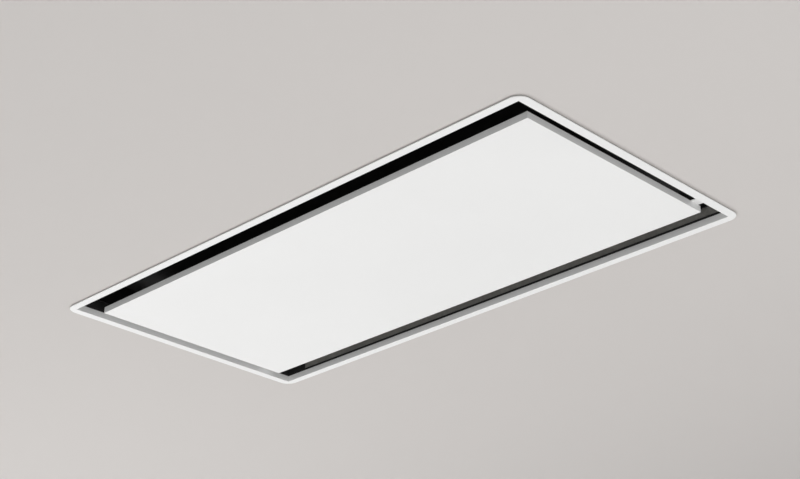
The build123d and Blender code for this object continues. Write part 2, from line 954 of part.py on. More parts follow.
def motor_bearings():
    """One bearing in each end of the motor, with running clearance on the shaft."""
    spans = [
        (motor_back, motor_back + bearing_width),
        (motor_front - bearing_width, motor_front),
    ]
    bore = shaft_radius + running_clearance
    return [blower_cylinder(span, bearing_radius) - blower_cylinder(span, bore) for span in spans]


def spider_places():
    """Y and Z of the spider's three rubber mounts."""
    return [
        (
            blower_y + spider_mount_radius * cos(radians(angle)),
            blower_height + spider_mount_radius * sin(radians(angle)),
        )
        for angle in spider_arm_angles
    ]


def motor_spider():
    """Three-armed plate behind the motor, over the left inlet."""
    span = (motor_back - spider_sheet, motor_back)
    plate = blower_cylinder(span, spider_hub_radius)
    half = spider_arm_width / 2
    for angle in spider_arm_angles:
        arm = Rot(0, 0, angle) * Pos(spider_mount_radius / 2, 0)
        arm = arm * Rectangle(spider_mount_radius, spider_arm_width)
        plate = plate + extrude(blower_plane(span[0]) * arm, amount=spider_sheet)
    for y, z in spider_places():
        plate = plate + rod_x(span, y, z, half)
        plate = plate - rod_x(span, y, z, rubber_bore_radius)
    return plate - blower_cylinder(span, shaft_radius + motor_wall)


def rubber_mounts():
    """Rubber posts between the spider and the scroll's side plate."""
    span = (motor_back, -scroll_side_outer)
    return [
        rod_x(span, y, z, rubber_radius) - rod_x(span, y, z, rubber_bore_radius)
        for y, z in spider_places()
    ]


def blower_hangers():
    """Angles that hang the scroll's side plates from the housing's top."""
    half = blower_hanger_width / 2
    middle = blower_y - scroll_shift
    y = (middle - half, middle + half)
    inner = scroll_side_outer
    low = top_under - blower_hanger_height
    upright = block((inner, inner + blower_hanger_sheet), y, (low, top_under))
    foot = block((inner, inner + blower_hanger_foot), y, (top_under - blower_hanger_sheet, top_under))
    right = upright + foot
    return [right, flipped_x(right)]


# ---------------------------------------------------------------- outlet
def outlet_adapter():
    """Sheet funnel from the scroll's oblong outlet up to the round hole."""
    low = Plane.XY.offset(scroll_outlet_z)
    high = Plane.XY.offset(top_under)
    length = 2 * scroll_side_outer
    depth = scroll_right - tongue_offset + 2 * scroll_wall
    outer = loft([low * Rectangle(length, depth), high * Circle(collar_inner + adapter_wall)])
    inner = loft(
        [
            low * Rectangle(length - 2 * adapter_wall, depth - 2 * adapter_wall),
            high * Circle(collar_inner),
        ]
    )
    return outer - inner


def collar_screw_set():
    """Screws round the collar's flange."""
    radius = collar_radius + collar_flange / 2
    seat = hood_height + collar_flange_thickness
    grip = collar_flange_thickness + housing_sheet
    turn = 360 / collar_screws
    places = [radians(turn * (index + 0.5)) for index in range(collar_screws)]
    return [
        screw((radius * cos(angle), radius * sin(angle), seat), (0, 0, -1), grip)
        for angle in places
    ]


def outlet_collar():
    """Round spigot for the duct, on a flange, with a hole each side for the damper's rod."""
    flange = rod_z(
        0, 0, (hood_height, hood_height + collar_flange_thickness), collar_radius + collar_flange
    )
    spigot = rod_z(0, 0, (hood_height, hood_height + collar_height), collar_radius)
    bore = rod_z(0, 0, (hood_height, hood_height + collar_height), collar_inner)
    return drilled(flange + spigot - bore - damper_rod(), collar_screw_set())


def damper_rod():
    """Thin rod across the collar that both flaps turn on."""
    reach = collar_radius - damper_rod_inset
    return rod_x((-reach, reach), 0, damper_z, damper_rod_radius)


def damper_flap(side, places):
    """Half-round flap on the given side of the rod, with two knuckles on it."""
    radius = collar_inner - flap_edge_gap
    low = damper_z - flap_thickness / 2
    high = damper_z + flap_thickness / 2
    inner_edge = knuckle_radius + knuckle_gap
    disc = rod_z(0, 0, (low, high), radius)
    keep = sorted((side * inner_edge, side * collar_radius))
    flap = disc & block((-collar_radius, collar_radius), keep, (low, high))
    half = knuckle_length / 2
    for x in places:
        span = (x - half, x + half)
        knuckle = rod_x(span, 0, damper_z, knuckle_radius)
        web = block(span, sorted((0, side * 2 * inner_edge)), (low, high))
        flap = flap + knuckle + web
    return flap - rod_x(
        (-collar_radius, collar_radius), 0, damper_z, damper_rod_radius + running_clearance
    )


# ---------------------------------------------------------------- electrical parts
def box_spans():
    """Outside of the control box in X and Y."""
    return (
        (box_low_x, box_low_x + box_length),
        (box_low_y, box_low_y + box_width),
    )


def board_spans():
    """Outline of the circuit board in X and Y, clear of the walls and the gland."""
    x, y = box_spans()
    return (
        (x[0] + board_margin, x[1] - board_margin),
        (gland_y + gland_body_radius + board_margin, y[1] - board_margin),
    )


def standoff_places():
    """Centres of the board's four posts, near its corners."""
    (low_x, high_x), (low_y, high_y) = board_spans()
    inset = standoff_inset
    return [(x, y) for x in (low_x + inset, high_x - inset) for y in (low_y + inset, high_y - inset)]


def board_screw_set():
    """Screws that hold the board up to its posts."""
    board_under = top_under - box_sheet - standoff_height - board_thickness
    grip = board_thickness + screw_grip
    return [screw((x, y, board_under), (0, 0, 1), grip) for x, y in standoff_places()]


def control_box():
    """Folded box under the top, open below, with the board's posts inside."""
    x, y = box_spans()
    outside = block(x, y, (box_under, top_under))
    inside = block(
        (x[0] + box_sheet, x[1] - box_sheet),
        (y[0] + box_sheet, y[1] - box_sheet),
        (box_under, top_under - box_sheet),
    )
    box = outside - inside
    post_span = (top_under - box_sheet - standoff_height, top_under - box_sheet)
    for post_x, post_y in standoff_places():
        box = box + rod_z(post_x, post_y, post_span, standoff_radius)
    box = box - rod_z(gland_x, gland_y, (top_under - box_sheet, top_under), gland_body_radius)
    return drilled(box, board_screw_set())


def control_lid():
    """Flat lid that closes the control box from below."""
    x, y = box_spans()
    return block(x, y, (box_under - box_sheet, box_under))


def control_board():
    """Circuit board on the posts."""
    x, y = board_spans()
    high = top_under - box_sheet - standoff_height
    board = block(x, y, (high - board_thickness, high))
    return drilled(board, board_screw_set())


def terminal_block():
    """Row of terminals under the board, for the mains lead."""
    (low_x, high_x), (low_y, high_y) = board_spans()
    board_under = top_under - box_sheet - standoff_height - board_thickness
    middle_x = (low_x + high_x) / 2
    middle_y = (low_y + high_y) / 2
    half = terminal_length / 2
    half_width = terminal_width / 2
    body = block(
        (middle_x - half, middle_x + half),
        (middle_y - half_width, middle_y + half_width),
        (board_under - terminal_height, board_under),
    )
    pitch = terminal_length / terminal_ways
    for place in spread(half - pitch / 2, terminal_ways):
        start = (middle_x + place, middle_y - half_width, board_under - terminal_height / 2)
        end = (middle_x + place, middle_y + half_width, board_under - terminal_height / 2)
        body = body - rod(start, end, terminal_hole_radius)
    return body


def cable_gland():
    """Gland in the top for the mains lead."""
    body = rod_z(gland_x, gland_y, (top_under - gland_drop, hood_height + gland_rise), gland_body_radius)
    flange = rod_z(
        gland_x, gland_y, (hood_height, hood_height + gland_flange_height), gland_flange_radius
    )
    bore = rod_z(
        gland_x, gland_y, (top_under - gland_drop, hood_height + gland_rise), gland_bore_radius
    )
    return body + flange - bore


def motor_capacitor():
    """Run capacitor, standing on its base under the top."""
    return rod_z(capacitor_x, capacitor_y, (top_under - capacitor_length, top_under), capacitor_radius)


def machine_screw_set():
    """All the pan-head screws: in the baffle plate, the catches, the collar and the board."""
    return baffle_screw_set() + catch_screw_set() + collar_screw_set() + board_screw_set()


# ---------------------------------------------------------------- write every node
def main():
    os.makedirs("parts", exist_ok=True)

    save("trim_frame", trim_frame())
    save("trim_seal", trim_seal())
    save("ceiling_gasket", ceiling_gasket())

    back = housing_back()
    right = housing_right_end()
    save("housing_back", back)
    save("housing_front", flipped_y(back))
    save("housing_right_end", right)
    save("housing_left_end", flipped_x(right))
    save("housing_top", housing_top())
    save("housing_rivets", *corner_rivets_all(), *top_rivets_all())
    save("hanger_plates", *hanger_plates())

    back_sheet = liner_back()
    end_sheets = [liner_right(), liner_left()]
    strip = liner_strip()
    save("liner_walls", back_sheet, flipped_y(back_sheet), *end_sheets, strip, flipped_y(strip))
    save("baffle_plate", baffle_plate())
    save("baffle_angles", *baffle_angles())

    save("filter_right_frame", filter_frame())
    save("filter_left_frame", flipped_x(filter_frame()))
    save("filter_right_mesh", *filter_mesh())
    save("filter_left_mesh", *[flipped_x(sheet) for sheet in filter_mesh()])
    save("filter_right_bail", filter_bail())
    save("filter_left_bail", flipped_x(filter_bail()))
    save("filter_clips", *filter_clips())

    save("panel_skin", panel_skin())
    save("panel_stiffeners", *panel_stiffeners())
    save("panel_pad", panel_pad())
    save("panel_strikers", *panel_strikers())
    save("panel_rivets", *panel_rivet_set())
    save("hinge_arm_right", hinge_arm())
    save("hinge_arm_left", flipped_x(hinge_arm()))
    save("hinge_brackets", *hinge_brackets())
    save("hinge_pins", hinge_pin(), flipped_x(hinge_pin()))

    save("catch_right_body", catch_body())
    save("catch_left_body", flipped_x(catch_body()))
    save("catch_right_plunger", catch_plunger())
    save("catch_left_plunger", flipped_x(catch_plunger()))
    save("catch_right_spring", catch_spring())
    save("catch_left_spring", flipped_x(catch_spring()))

    save("scroll_right", scroll_half())
    save("scroll_left", flipped_x(scroll_half()))
    save("inlet_rings", inlet_ring(), flipped_x(inlet_ring()))
    save("impeller_disc", impeller_disc())
    save("impeller_rims", *impeller_rims())
    save("impeller_blades", *impeller_blades())
    save("motor_shaft", motor_shaft())
    save("motor_shell", motor_shell())
    save("motor_stator", motor_stator())
    save("motor_bearings", *motor_bearings())
    save("motor_spider", motor_spider())
    save("rubber_mounts", *rubber_mounts())
    save("blower_hangers", *blower_hangers())

    save("outlet_adapter", outlet_adapter())
    save("outlet_collar", outlet_collar())
    save("damper_rod", damper_rod())
    knuckles = spread(knuckle_reach, knuckle_count)
    save("damper_flap_front", damper_flap(-1, knuckles[0::2]))
    save("damper_flap_back", damper_flap(1, knuckles[1::2]))

    save("control_box", control_box())
    save("control_lid", control_lid())
    save("control_board", control_board())
    save("terminal_block", terminal_block())
    save("machine_screws", *machine_screw_set())
    save("cable_gland", cable_gland())
    save("motor_capacitor", motor_capacitor())


main()
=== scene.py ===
import json
import logging
from collections.abc import Callable
from dataclasses import dataclass
from enum import Enum
from math import cos, hypot, pi, radians, sin

import bmesh
import bpy
from bmesh.types import BMesh, BMVert
from bpy.types import Material, Node, NodeSocket, NodeTree, Object
from mathutils import Matrix, Vector


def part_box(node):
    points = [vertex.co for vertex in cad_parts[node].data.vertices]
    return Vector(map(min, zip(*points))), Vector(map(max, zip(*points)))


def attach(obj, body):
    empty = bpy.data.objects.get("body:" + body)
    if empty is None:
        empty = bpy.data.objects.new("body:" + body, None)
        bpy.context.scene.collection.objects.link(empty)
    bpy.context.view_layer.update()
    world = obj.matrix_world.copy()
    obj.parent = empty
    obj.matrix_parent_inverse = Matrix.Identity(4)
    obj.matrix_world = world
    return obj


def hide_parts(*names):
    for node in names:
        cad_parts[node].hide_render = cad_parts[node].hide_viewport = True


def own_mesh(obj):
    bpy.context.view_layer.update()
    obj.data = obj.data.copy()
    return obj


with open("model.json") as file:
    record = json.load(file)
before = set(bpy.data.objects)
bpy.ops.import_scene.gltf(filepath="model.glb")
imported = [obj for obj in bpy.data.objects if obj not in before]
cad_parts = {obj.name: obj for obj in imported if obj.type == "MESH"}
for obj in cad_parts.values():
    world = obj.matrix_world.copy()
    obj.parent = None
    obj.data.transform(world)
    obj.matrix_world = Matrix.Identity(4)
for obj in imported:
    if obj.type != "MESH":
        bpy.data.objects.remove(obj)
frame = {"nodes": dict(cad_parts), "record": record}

LOG = logging.getLogger("hood")
MM = 0.001
# Corners nearer than this are one, in millimetres.
DOUBLE = 0.001
# A fold sharper than this is an edge.
SHARP_TURN = radians(50)
# Faces that meet at less than this are one.
FLAT_TURN = radians(0.5)
# Handle length that makes a Bezier quarter turn round, as a share of its radius.
ARC_HANDLE = 0.5523
# Values of a noise texture between which a tone and a roughness change.
TONE_SPAN = (0.35, 0.65)
ROUGHNESS_SPAN = (0.3, 0.7)
# Steps along a quarter of a wire's girth and along a piece of its bends.
WIRE_GIRTH_STEPS = 3
WIRE_BEND_STEPS = 8
# Steps round a bend in a strip of sheet.
STRIP_BEND_STEPS = 4

# ---------------------------------------------------------------- small tools


def linear(hex_colour: str) -> tuple[float, float, float, float]:
    """Turn an sRGB hex colour into linear RGBA.

    Args:
        hex_colour: Six hex digits, without a leading sign.

    Returns:
        The linear colour with an alpha of 1.
    """
    channels = [int(hex_colour[at:at + 2], 16) / 255 for at in (0, 2, 4)]
    straight = [c / 12.92 if c <= 0.04045 else ((c + 0.055) / 1.055) ** 2.4 for c in channels]
    return (*straight, 1.0)


def add_node(tree: NodeTree, kind: str, settings: dict, links: dict) -> Node:
    """Add a node to a tree, set it up and link it.

    Args:
        tree: The node tree.
        kind: The node's type name.
        settings: Values by input name, or by attribute name where no input has it. A colour ramp's
            "stops" are pairs of place and linear colour, from low to high.
        links: Output sockets by the name or number of the input that they feed.

    Returns:
        The new node.
    """
    node = tree.nodes.new(kind)
    for key, value in settings.items():
        if key == "stops":
            while len(node.color_ramp.elements) < len(value):
                node.color_ramp.elements.new(0.5)
            for element, (element_place, colour) in zip(node.color_ramp.elements, value):
                element.position, element.color = element_place, colour
        elif isinstance(key, int) or key in node.inputs:
            node.inputs[key].default_value = value
        else:
            setattr(node, key, value)
    for key, source in links.items():
        tree.links.new(source, node.inputs[key])
    return node


def new_material(name: str) -> tuple[Material, NodeTree]:
    """Make an empty material.

    Args:
        name: Its name.

    Returns:
        The material and its node tree.
    """
    material = bpy.data.materials.new(name)
    material.use_nodes = True
    material.node_tree.nodes.clear()
    return material, material.node_tree


# ---------------------------------------------------------------- finishes


@dataclass(frozen=True)
class Finish:
    """A surface finish with a fine grain and a slow change of tone.

    Its patterns take the Object coordinates of a point and give the value there.
    """

    name: str
    colour: str
    roughness: float
    metallic: float = 0.0
    grain_mm: float = 1.0
    grain_depth_mm: float = 0.02
    tone_mm: float = 120.0
    tone_change: float = 0.03
    roughness_change: float = 0.06

    def tone(self, factor: float) -> tuple[float, float, float, float]:
        """The finish's linear colour, made lighter or darker."""
        return (*[min(1.0, channel * factor) for channel in linear(self.colour)[:3]], 1.0)

    def mottle(self, place: NodeSocket, size_mm: float, detail: float = 3.0) -> NodeSocket:
        """Soft random pattern whose features have a given real size, with some finer steps."""
        settings = {"Scale": 1 / (size_mm * MM), "Detail": detail}
        return add_node(place.id_data, "ShaderNodeTexNoise", settings, {"Vector": place}).outputs["Fac"]

    def tones(self) -> list[tuple]:
        """Values of the shade pattern, each with its colour."""
        return list(zip(TONE_SPAN, (self.tone(1 - self.tone_change), self.tone(1 + self.tone_change))))

    def shade_at(self, place: NodeSocket) -> NodeSocket:
        """Pattern of the colour: a slow change of tone across the surface."""
        return self.mottle(place, self.tone_mm)

    def roughness_over(self, pattern: NodeSocket, low: float, high: float) -> NodeSocket:
        """Roughness that follows a pattern.

        Args:
            pattern: The pattern's value.
            low: The value with the least roughness.
            high: The value with the most.

        Returns:
            The roughness.
        """
        least, most = self.roughness - self.roughness_change, self.roughness + self.roughness_change
        reach = {"From Min": low, "From Max": high, "To Min": least, "To Max": most}
        return add_node(pattern.id_data, "ShaderNodeMapRange", reach, {"Value": pattern}).outputs["Result"]

    def roughness_at(self, place: NodeSocket) -> NodeSocket:
        """Roughness that changes a little across the surface."""
        return self.roughness_over(self.mottle(place, self.tone_mm / 3), *ROUGHNESS_SPAN)

    def height_at(self, place: NodeSocket) -> NodeSocket:
        """Height of the fine grain, from 0 to 1."""
        return self.mottle(place, self.grain_mm, 2.0)

    def build(self) -> Material:
        """Make the material.

        Returns:
            The finished material.
        """
        material, tree = new_material(self.name)
        place = add_node(tree, "ShaderNodeTexCoord", {}, {}).outputs["Object"]
        colour = add_node(tree, "ShaderNodeValToRGB", {"stops": self.tones()}, {"Fac": self.shade_at(place)})
        bump = add_node(
            tree, "ShaderNodeBump", {"Strength": 1.0, "Distance": self.grain_depth_mm * MM},
            {"Height": self.height_at(place)})
        shader = add_node(
            tree, "ShaderNodeBsdfPrincipled", {"Metallic": self.metallic},
            {"Base Color": colour.outputs["Color"], "Roughness": self.roughness_at(place),
             "Normal": bump.outputs["Normal"]})
        add_node(tree, "ShaderNodeOutputMaterial", {}, {"Surface": shader.outputs["BSDF"]})
        return material


@dataclass(frozen=True)
class GalvanisedFinish(Finish):
    """Hot-dip galvanised sheet: the zinc freezes in flat crystals, each with its own sheen."""

    spangle_mm: float = 6.0
    spangle_contrast: float = 0.09

    def tones(self) -> list[tuple]:
        """The darkest and the lightest crystal."""
        return [(0.0, self.tone(1 - self.spangle_contrast)), (1.0, self.tone(1 + self.spangle_contrast))]

    def shade_at(self, place: NodeSocket) -> NodeSocket:
        """A grey for each zinc crystal, a little lighter or darker than the next.

        Args:
            place: The Object coordinates.

        Returns:
            The grey, from 0 to 1.
        """
        tree, scale = place.id_data, 1 / (self.spangle_mm * MM)
        wobble = add_node(tree, "ShaderNodeTexNoise", {"Scale": scale, "Detail": 2.0}, {"Vector": place})
        offset = add_node(
            tree, "ShaderNodeVectorMath",
            {"operation": "MULTIPLY_ADD", 1: (self.spangle_mm * MM * 0.5,) * 3},
            {0: wobble.outputs["Color"], 2: place})
        cells = add_node(
            tree, "ShaderNodeTexVoronoi", {"Scale": scale}, {"Vector": offset.outputs["Vector"]})
        split = add_node(tree, "ShaderNodeSeparateColor", {}, {"Color": cells.outputs["Color"]})
        return split.outputs["Red"]

    def roughness_at(self, place: NodeSocket) -> NodeSocket:
        """Each crystal a little sharper or duller than the next."""
        return self.roughness_over(self.shade_at(place), 0.0, 1.0)


@dataclass(frozen=True)
class LayeredFinish(Finish):
    """A surface with fine lines across X: stacked laminations or turning marks."""

    pitch_mm: float = 1.0
    waviness: float = 0.2

    def height_at(self, place: NodeSocket) -> NodeSocket:
        """Height of the lines. A wave texture has 20 radians to a unit at a scale of 1."""
        settings = {"Scale": 1 / (self.pitch_mm * MM) / 20 * 2 * pi, "Distortion": self.waviness}
        return add_node(place.id_data, "ShaderNodeTexWave", settings, {"Vector": place}).outputs["Fac"]


@dataclass(frozen=True)
class FoamFinish(Finish):
    """Closed-cell foam: small round pores in a dull skin."""

    def height_at(self, place: NodeSocket) -> NodeSocket:
        """Height of the pores."""
        scale = {"Scale": 1 / (self.grain_mm * MM)}
        return add_node(place.id_data, "ShaderNodeTexVoronoi", scale, {"Vector": place}).outputs["Distance"]


@dataclass(frozen=True)
class BoardFinish(Finish):
    """Green solder mask over copper tracks, which show as slightly raised lighter lines."""

    track_mm: float = 5.0
    track_shine: float = 1.8

    def tones(self) -> list[tuple]:
        """Dark mask with lighter tracks."""
        mask, track = self.tone(1.0), self.tone(self.track_shine)
        return [(0.45, mask), (0.5, track), (0.62, track), (0.67, mask)]

    def shade_at(self, place: NodeSocket) -> NodeSocket:
        """Tracks that run square to each other."""
        cells = {"Scale": 1 / (self.track_mm * MM), "distance": "MANHATTAN", "feature": "F2"}
        return add_node(place.id_data, "ShaderNodeTexVoronoi", cells, {"Vector": place}).outputs["Distance"]

    def height_at(self, place: NodeSocket) -> NodeSocket:
        """Tracks stand a little proud."""
        return self.shade_at(place)


FINISHES: dict[str, Finish] = {
    # Polyester powder coat on steel: matt, with a soft orange peel that breaks up reflections.
    "white_powder_coat": Finish(
        "white_powder_coat_steel", "EEEEED", 0.42, grain_mm=1.6, grain_depth_mm=0.012,
        tone_mm=260, tone_change=0.008, roughness_change=0.04),
    # Hot-dip galvanised sheet: pale grey metal with flat crystals about 6 mm wide.
    "galvanised_sheet": GalvanisedFinish(
        "galvanised_steel_sheet", "AAA8A3", 0.6, 0.55, grain_mm=2.0, grain_depth_mm=0.01),
    # Black matt coat on sheet: hides the inside of the hood in shadow.
    "black_coated_sheet": Finish(
        "matt_black_coated_steel", "1C1C1C", 0.62, grain_mm=0.9, grain_depth_mm=0.015),
    # Mill-finish aluminium, rolled and folded: soft bright metal with fine rolling haze.
    "filter_aluminium": Finish(
        "rolled_aluminium", "C9CACC", 0.36, 1.0, grain_mm=0.7, grain_depth_mm=0.01, tone_mm=40),
    # Bright zinc plate on fasteners: thin shiny coat with a slightly blue cast.
    "zinc_plated_steel": Finish(
        "bright_zinc_plated_steel", "B9BDC0", 0.28, 1.0, grain_mm=0.5, grain_depth_mm=0.006, tone_mm=12),
    # Oiled spring strip: darker and smoother than the sheet round it.
    "spring_steel": Finish(
        "oiled_spring_steel", "7F8285", 0.3, 1.0, grain_mm=0.5, grain_depth_mm=0.004, tone_mm=15),
    # Moulded nylon: dull black with a spark-eroded texture.
    "black_plastic": Finish(
        "moulded_black_nylon", "1A1A1B", 0.5, grain_mm=0.5, grain_depth_mm=0.02, tone_mm=30),
    # Closed-cell polyethylene foam strip: pale and matt, with pores about a millimetre wide.
    "pale_foam": FoamFinish(
        "closed_cell_foam", "B8B8B5", 0.9, grain_mm=1.1, grain_depth_mm=0.15, tone_mm=50),
    # Bitumen damping sheet: black, heavy, faintly grained.
    "damping_sheet": Finish(
        "bitumen_damping_sheet", "202021", 0.75, grain_mm=2.2, grain_depth_mm=0.06, tone_mm=60),
    # Moulded rubber: black with a soft low sheen.
    "mount_rubber": Finish(
        "moulded_rubber", "1C1C1C", 0.68, grain_mm=0.8, grain_depth_mm=0.02, tone_mm=20),
    # Glass-filled polypropylene scroll: dark grey, slightly mottled from moulding.
    "scroll_plastic": Finish(
        "glass_filled_polypropylene", "2B2C2E", 0.55, grain_mm=0.8, grain_depth_mm=0.03, tone_mm=45),
    # Moulded impeller: smoother than the scroll.
    "impeller_plastic": Finish(
        "moulded_polyamide", "313236", 0.44, grain_mm=0.7, grain_depth_mm=0.015, tone_mm=30),
    # Die-cast motor case: dull light grey skin with flow marks.
    "motor_casting": Finish(
        "die_cast_aluminium", "9B9C9E", 0.5, 1.0, grain_mm=1.2, grain_depth_mm=0.04, tone_mm=18),
    # Stacked laminations: dark edges of half-millimetre sheets, drawn at twice that to show.
    "laminated_steel": LayeredFinish(
        "laminated_silicon_steel", "6A6B70", 0.42, 1.0, grain_depth_mm=0.08, pitch_mm=1.0),
    # Green solder mask: satin, with tracks just visible beneath.
    "circuit_board": BoardFinish("solder_mask_on_glass_epoxy", "1E5A35", 0.35, grain_depth_mm=0.03),
    # Drawn aluminium can: bright with faint lines from the die.
    "capacitor_can": Finish(
        "drawn_aluminium", "BFC0C2", 0.32, 1.0, grain_mm=0.9, grain_depth_mm=0.008, tone_mm=25),
    # Ground steel: bright, nearly mirror, with fine turning marks.
    "ground_steel": LayeredFinish(
        "ground_steel", "BDBFC2", 0.2, 1.0, grain_depth_mm=0.004, pitch_mm=0.6),
    # Moulded damper flaps: black polypropylene.
    "damper_plastic": Finish(
        "moulded_polypropylene", "232325", 0.48, grain_mm=0.7, grain_depth_mm=0.02, tone_mm=30),
    # Terminal strip: off-white polyamide, slightly translucent at its edges.
    "terminal_plastic": Finish(
        "natural_polyamide", "D6D4C9", 0.46, grain_mm=0.6, grain_depth_mm=0.012, tone_mm=15),
}


# ---------------------------------------------------------------- studio


@dataclass
class Studio:
    """Camera, plain ceiling and floor, soft light."""

    # The photograph's viewpoint, in metres, and the directions to its right, down and ahead.
    eye: tuple = (1.69173, -1.68318, -1.10347)
    turn: tuple = (1.0628, 0.4343, -0.6931)
    lens_mm: float = 75.2
    sensor_mm: float = 36.0
    ceiling_half: float = 1.6
    ceiling_overlap: float = 0.0003
    ceiling_corner: float = 0.0182
    ceiling_corner_steps: int = 8
    ceiling_colour: str = "CDC9C6"
    ceiling_roughness: float = 0.9
    floor_depth: float = 2.4
    floor_half: float = 2.0
    floor_colour: str = "F2F2F1"
    floor_roughness: float = 0.8
    world_colour: str = "FAFAFB"
    world_light: float = 0.42
    world_seen: float = 0.85
    lamp_size: float = 2.0
    # Name, place, height on the hood's axis that it faces, and power, in metres and watts.
    lamps: tuple = (
        ("left_key", (-1.6, 0.2, -2.2), 0, 38),
        ("right_key", (1.4, 0, -2.2), 0, 28.5),
        ("near_key", (0, -3.2, -1.3), 0, 13.5),
        ("top_key", (-1.8, -2.0, 2.6), 0.15, 95),
        ("top_fill", (2.4, 1.8, 2.2), 0.15, 65),
    )

    def build(self) -> None:
        """Make everything that isn't part of the object."""
        self.camera()
        self.world()
        self.ceiling()
        self.floor()
        self.lights()
        bpy.context.scene.view_settings.view_transform = "Standard"

    def camera(self) -> None:
        """Place the camera where the photograph was taken from."""
        data = bpy.data.cameras.new("camera")
        data.lens = self.lens_mm
        data.sensor_width = self.sensor_mm
        data.sensor_fit = "HORIZONTAL"
        camera = bpy.data.objects.new("camera", data)
        bpy.context.scene.collection.objects.link(camera)
        turn = Vector(self.turn)
        rows = Matrix.Rotation(turn.length, 3, turn)
        right, down, ahead = rows[0], rows[1], rows[2]
        matrix = Matrix((right, -down, -ahead)).transposed().to_4x4()
        matrix.translation = Vector(self.eye)
        camera.matrix_world = matrix
        bpy.context.scene.camera = camera

    def world(self) -> None:
        """Even pale light from all round."""
        world = bpy.data.worlds.new("studio")
        world.use_nodes = True
        tree = world.node_tree
        tree.nodes.clear()
        path = add_node(tree, "ShaderNodeLightPath", {}, {}).outputs
        seen = path["Is Camera Ray"]
        for ray in ("Is Glossy Ray", "Is Transmission Ray"):
            either = add_node(tree, "ShaderNodeMath", {"operation": "MAXIMUM"}, {0: seen, 1: path[ray]})
            seen = either.outputs["Value"]
        strength = add_node(
            tree, "ShaderNodeMapRange", {"To Min": self.world_light, "To Max": self.world_seen},
            {"Value": seen})
        back = add_node(
            tree, "ShaderNodeBackground", {"Color": linear(self.world_colour)},
            {"Strength": strength.outputs["Result"]})
        add_node(tree, "ShaderNodeOutputWorld", {}, {"Surface": back.outputs["Background"]})
        bpy.context.scene.world = world

    def ceiling(self) -> None:
        """Plain ceiling whose hole is just inside the gasket's outline, so that no light comes past it."""
        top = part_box("ceiling_gasket")[1]
        work = bmesh.new()
        hole = bmesh.ops.create_grid(work, x_segments=1, y_segments=1, size=1.0)["verts"]
        overlap = Vector((self.ceiling_overlap, self.ceiling_overlap, 0))
        bmesh.ops.scale(work, verts=hole, vec=((top - overlap).x, (top - overlap).y, 1))
        bevelled(work, hole, self.ceiling_corner, self.ceiling_corner_steps, "VERTICES")
        bmesh.ops.delete(work, geom=work.faces[:], context="FACES_ONLY")
        outer = bmesh.ops.create_grid(work, x_segments=1, y_segments=1, size=self.ceiling_half)["verts"]
        bmesh.ops.delete(work, geom=outer[0].link_faces[:], context="FACES_ONLY")
        bmesh.ops.triangle_fill(work, edges=work.edges[:], normal=(0, 0, -1), use_beauty=True)
        for face in work.faces:
            if face.normal.z > 0:
                face.normal_flip()
        shifted(work, (0, 0, top.z - self.ceiling_overlap / 4))
        ceiling = mesh_object("ceiling", work)
        self.painted(ceiling, "plain_plaster", self.ceiling_colour, self.ceiling_roughness)

    def floor(self) -> None:
        """Plain pale floor below the camera."""
        work = bmesh.new()
        bmesh.ops.create_grid(work, x_segments=1, y_segments=1, size=self.floor_half)
        shifted(work, (0, 0, -self.floor_depth))
        self.painted(mesh_object("floor", work), "plain_floor", self.floor_colour, self.floor_roughness)

    def painted(self, piece: Object, name: str, colour: str, roughness: float) -> None:
        """Stage a piece in matt paint that the camera sees through from behind.

        Args:
            piece: The piece.
            name: The paint's name.
            colour: Its sRGB hex colour.
            roughness: Its roughness.
        """
        material, tree = new_material(name)
        coat = add_node(
            tree, "ShaderNodeBsdfPrincipled", {"Base Color": linear(colour), "Roughness": roughness}, {})
        clear = add_node(tree, "ShaderNodeBsdfTransparent", {}, {})
        side = add_node(tree, "ShaderNodeNewGeometry", {}, {})
        path = add_node(tree, "ShaderNodeLightPath", {}, {})
        seen = add_node(
            tree, "ShaderNodeMath", {"operation": "MULTIPLY"},
            {0: side.outputs["Backfacing"], 1: path.outputs["Is Camera Ray"]})
        mix = add_node(
            tree, "ShaderNodeMixShader", {},
            {"Fac": seen.outputs["Value"], 1: coat.outputs["BSDF"], 2: clear.outputs["BSDF"]})
        add_node(tree, "ShaderNodeOutputMaterial", {}, {"Surface": mix.outputs["Shader"]})
        piece.data.materials.append(material)

    def lights(self) -> None:
        """Broad square lights below on three sides, and two above."""
        for name, place, height, power in self.lamps:
            data = bpy.data.lights.new(name, "AREA")
            data.size = self.lamp_size
            data.energy = power
            lamp = bpy.data.objects.new(name, data)
            bpy.context.scene.collection.objects.link(lamp)
            lamp.location = place
            way = Vector((0, 0, height)) - Vector(place)
            lamp.rotation_euler = way.to_track_quat("-Z", "Y").to_euler()


# ---------------------------------------------------------------- mesh tools
# Meshes are worked in millimetres and turned to metres when a piece is finished.


def mesh_object(name: str, work: BMesh) -> Object:
    """Turn a bmesh into an object at the origin.

    Args:
        name: The object's name.
        work: The bmesh, which is freed.

    Returns:
        The new object, linked to the scene.
    """
    mesh = bpy.data.meshes.new(name)
    work.to_mesh(mesh)
    work.free()
    piece = bpy.data.objects.new(name, mesh)
    bpy.context.scene.collection.objects.link(piece)
    return piece


def box_mm(node: str) -> tuple[Vector, Vector]:
    """Lowest and highest corners of a CAD node, in millimetres."""
    low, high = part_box(node)
    return low / MM, high / MM


def shifted(work: BMesh, way: tuple) -> BMesh:
    """Move a whole bmesh by a vector."""
    bmesh.ops.translate(work, verts=work.verts, vec=way)
    return work


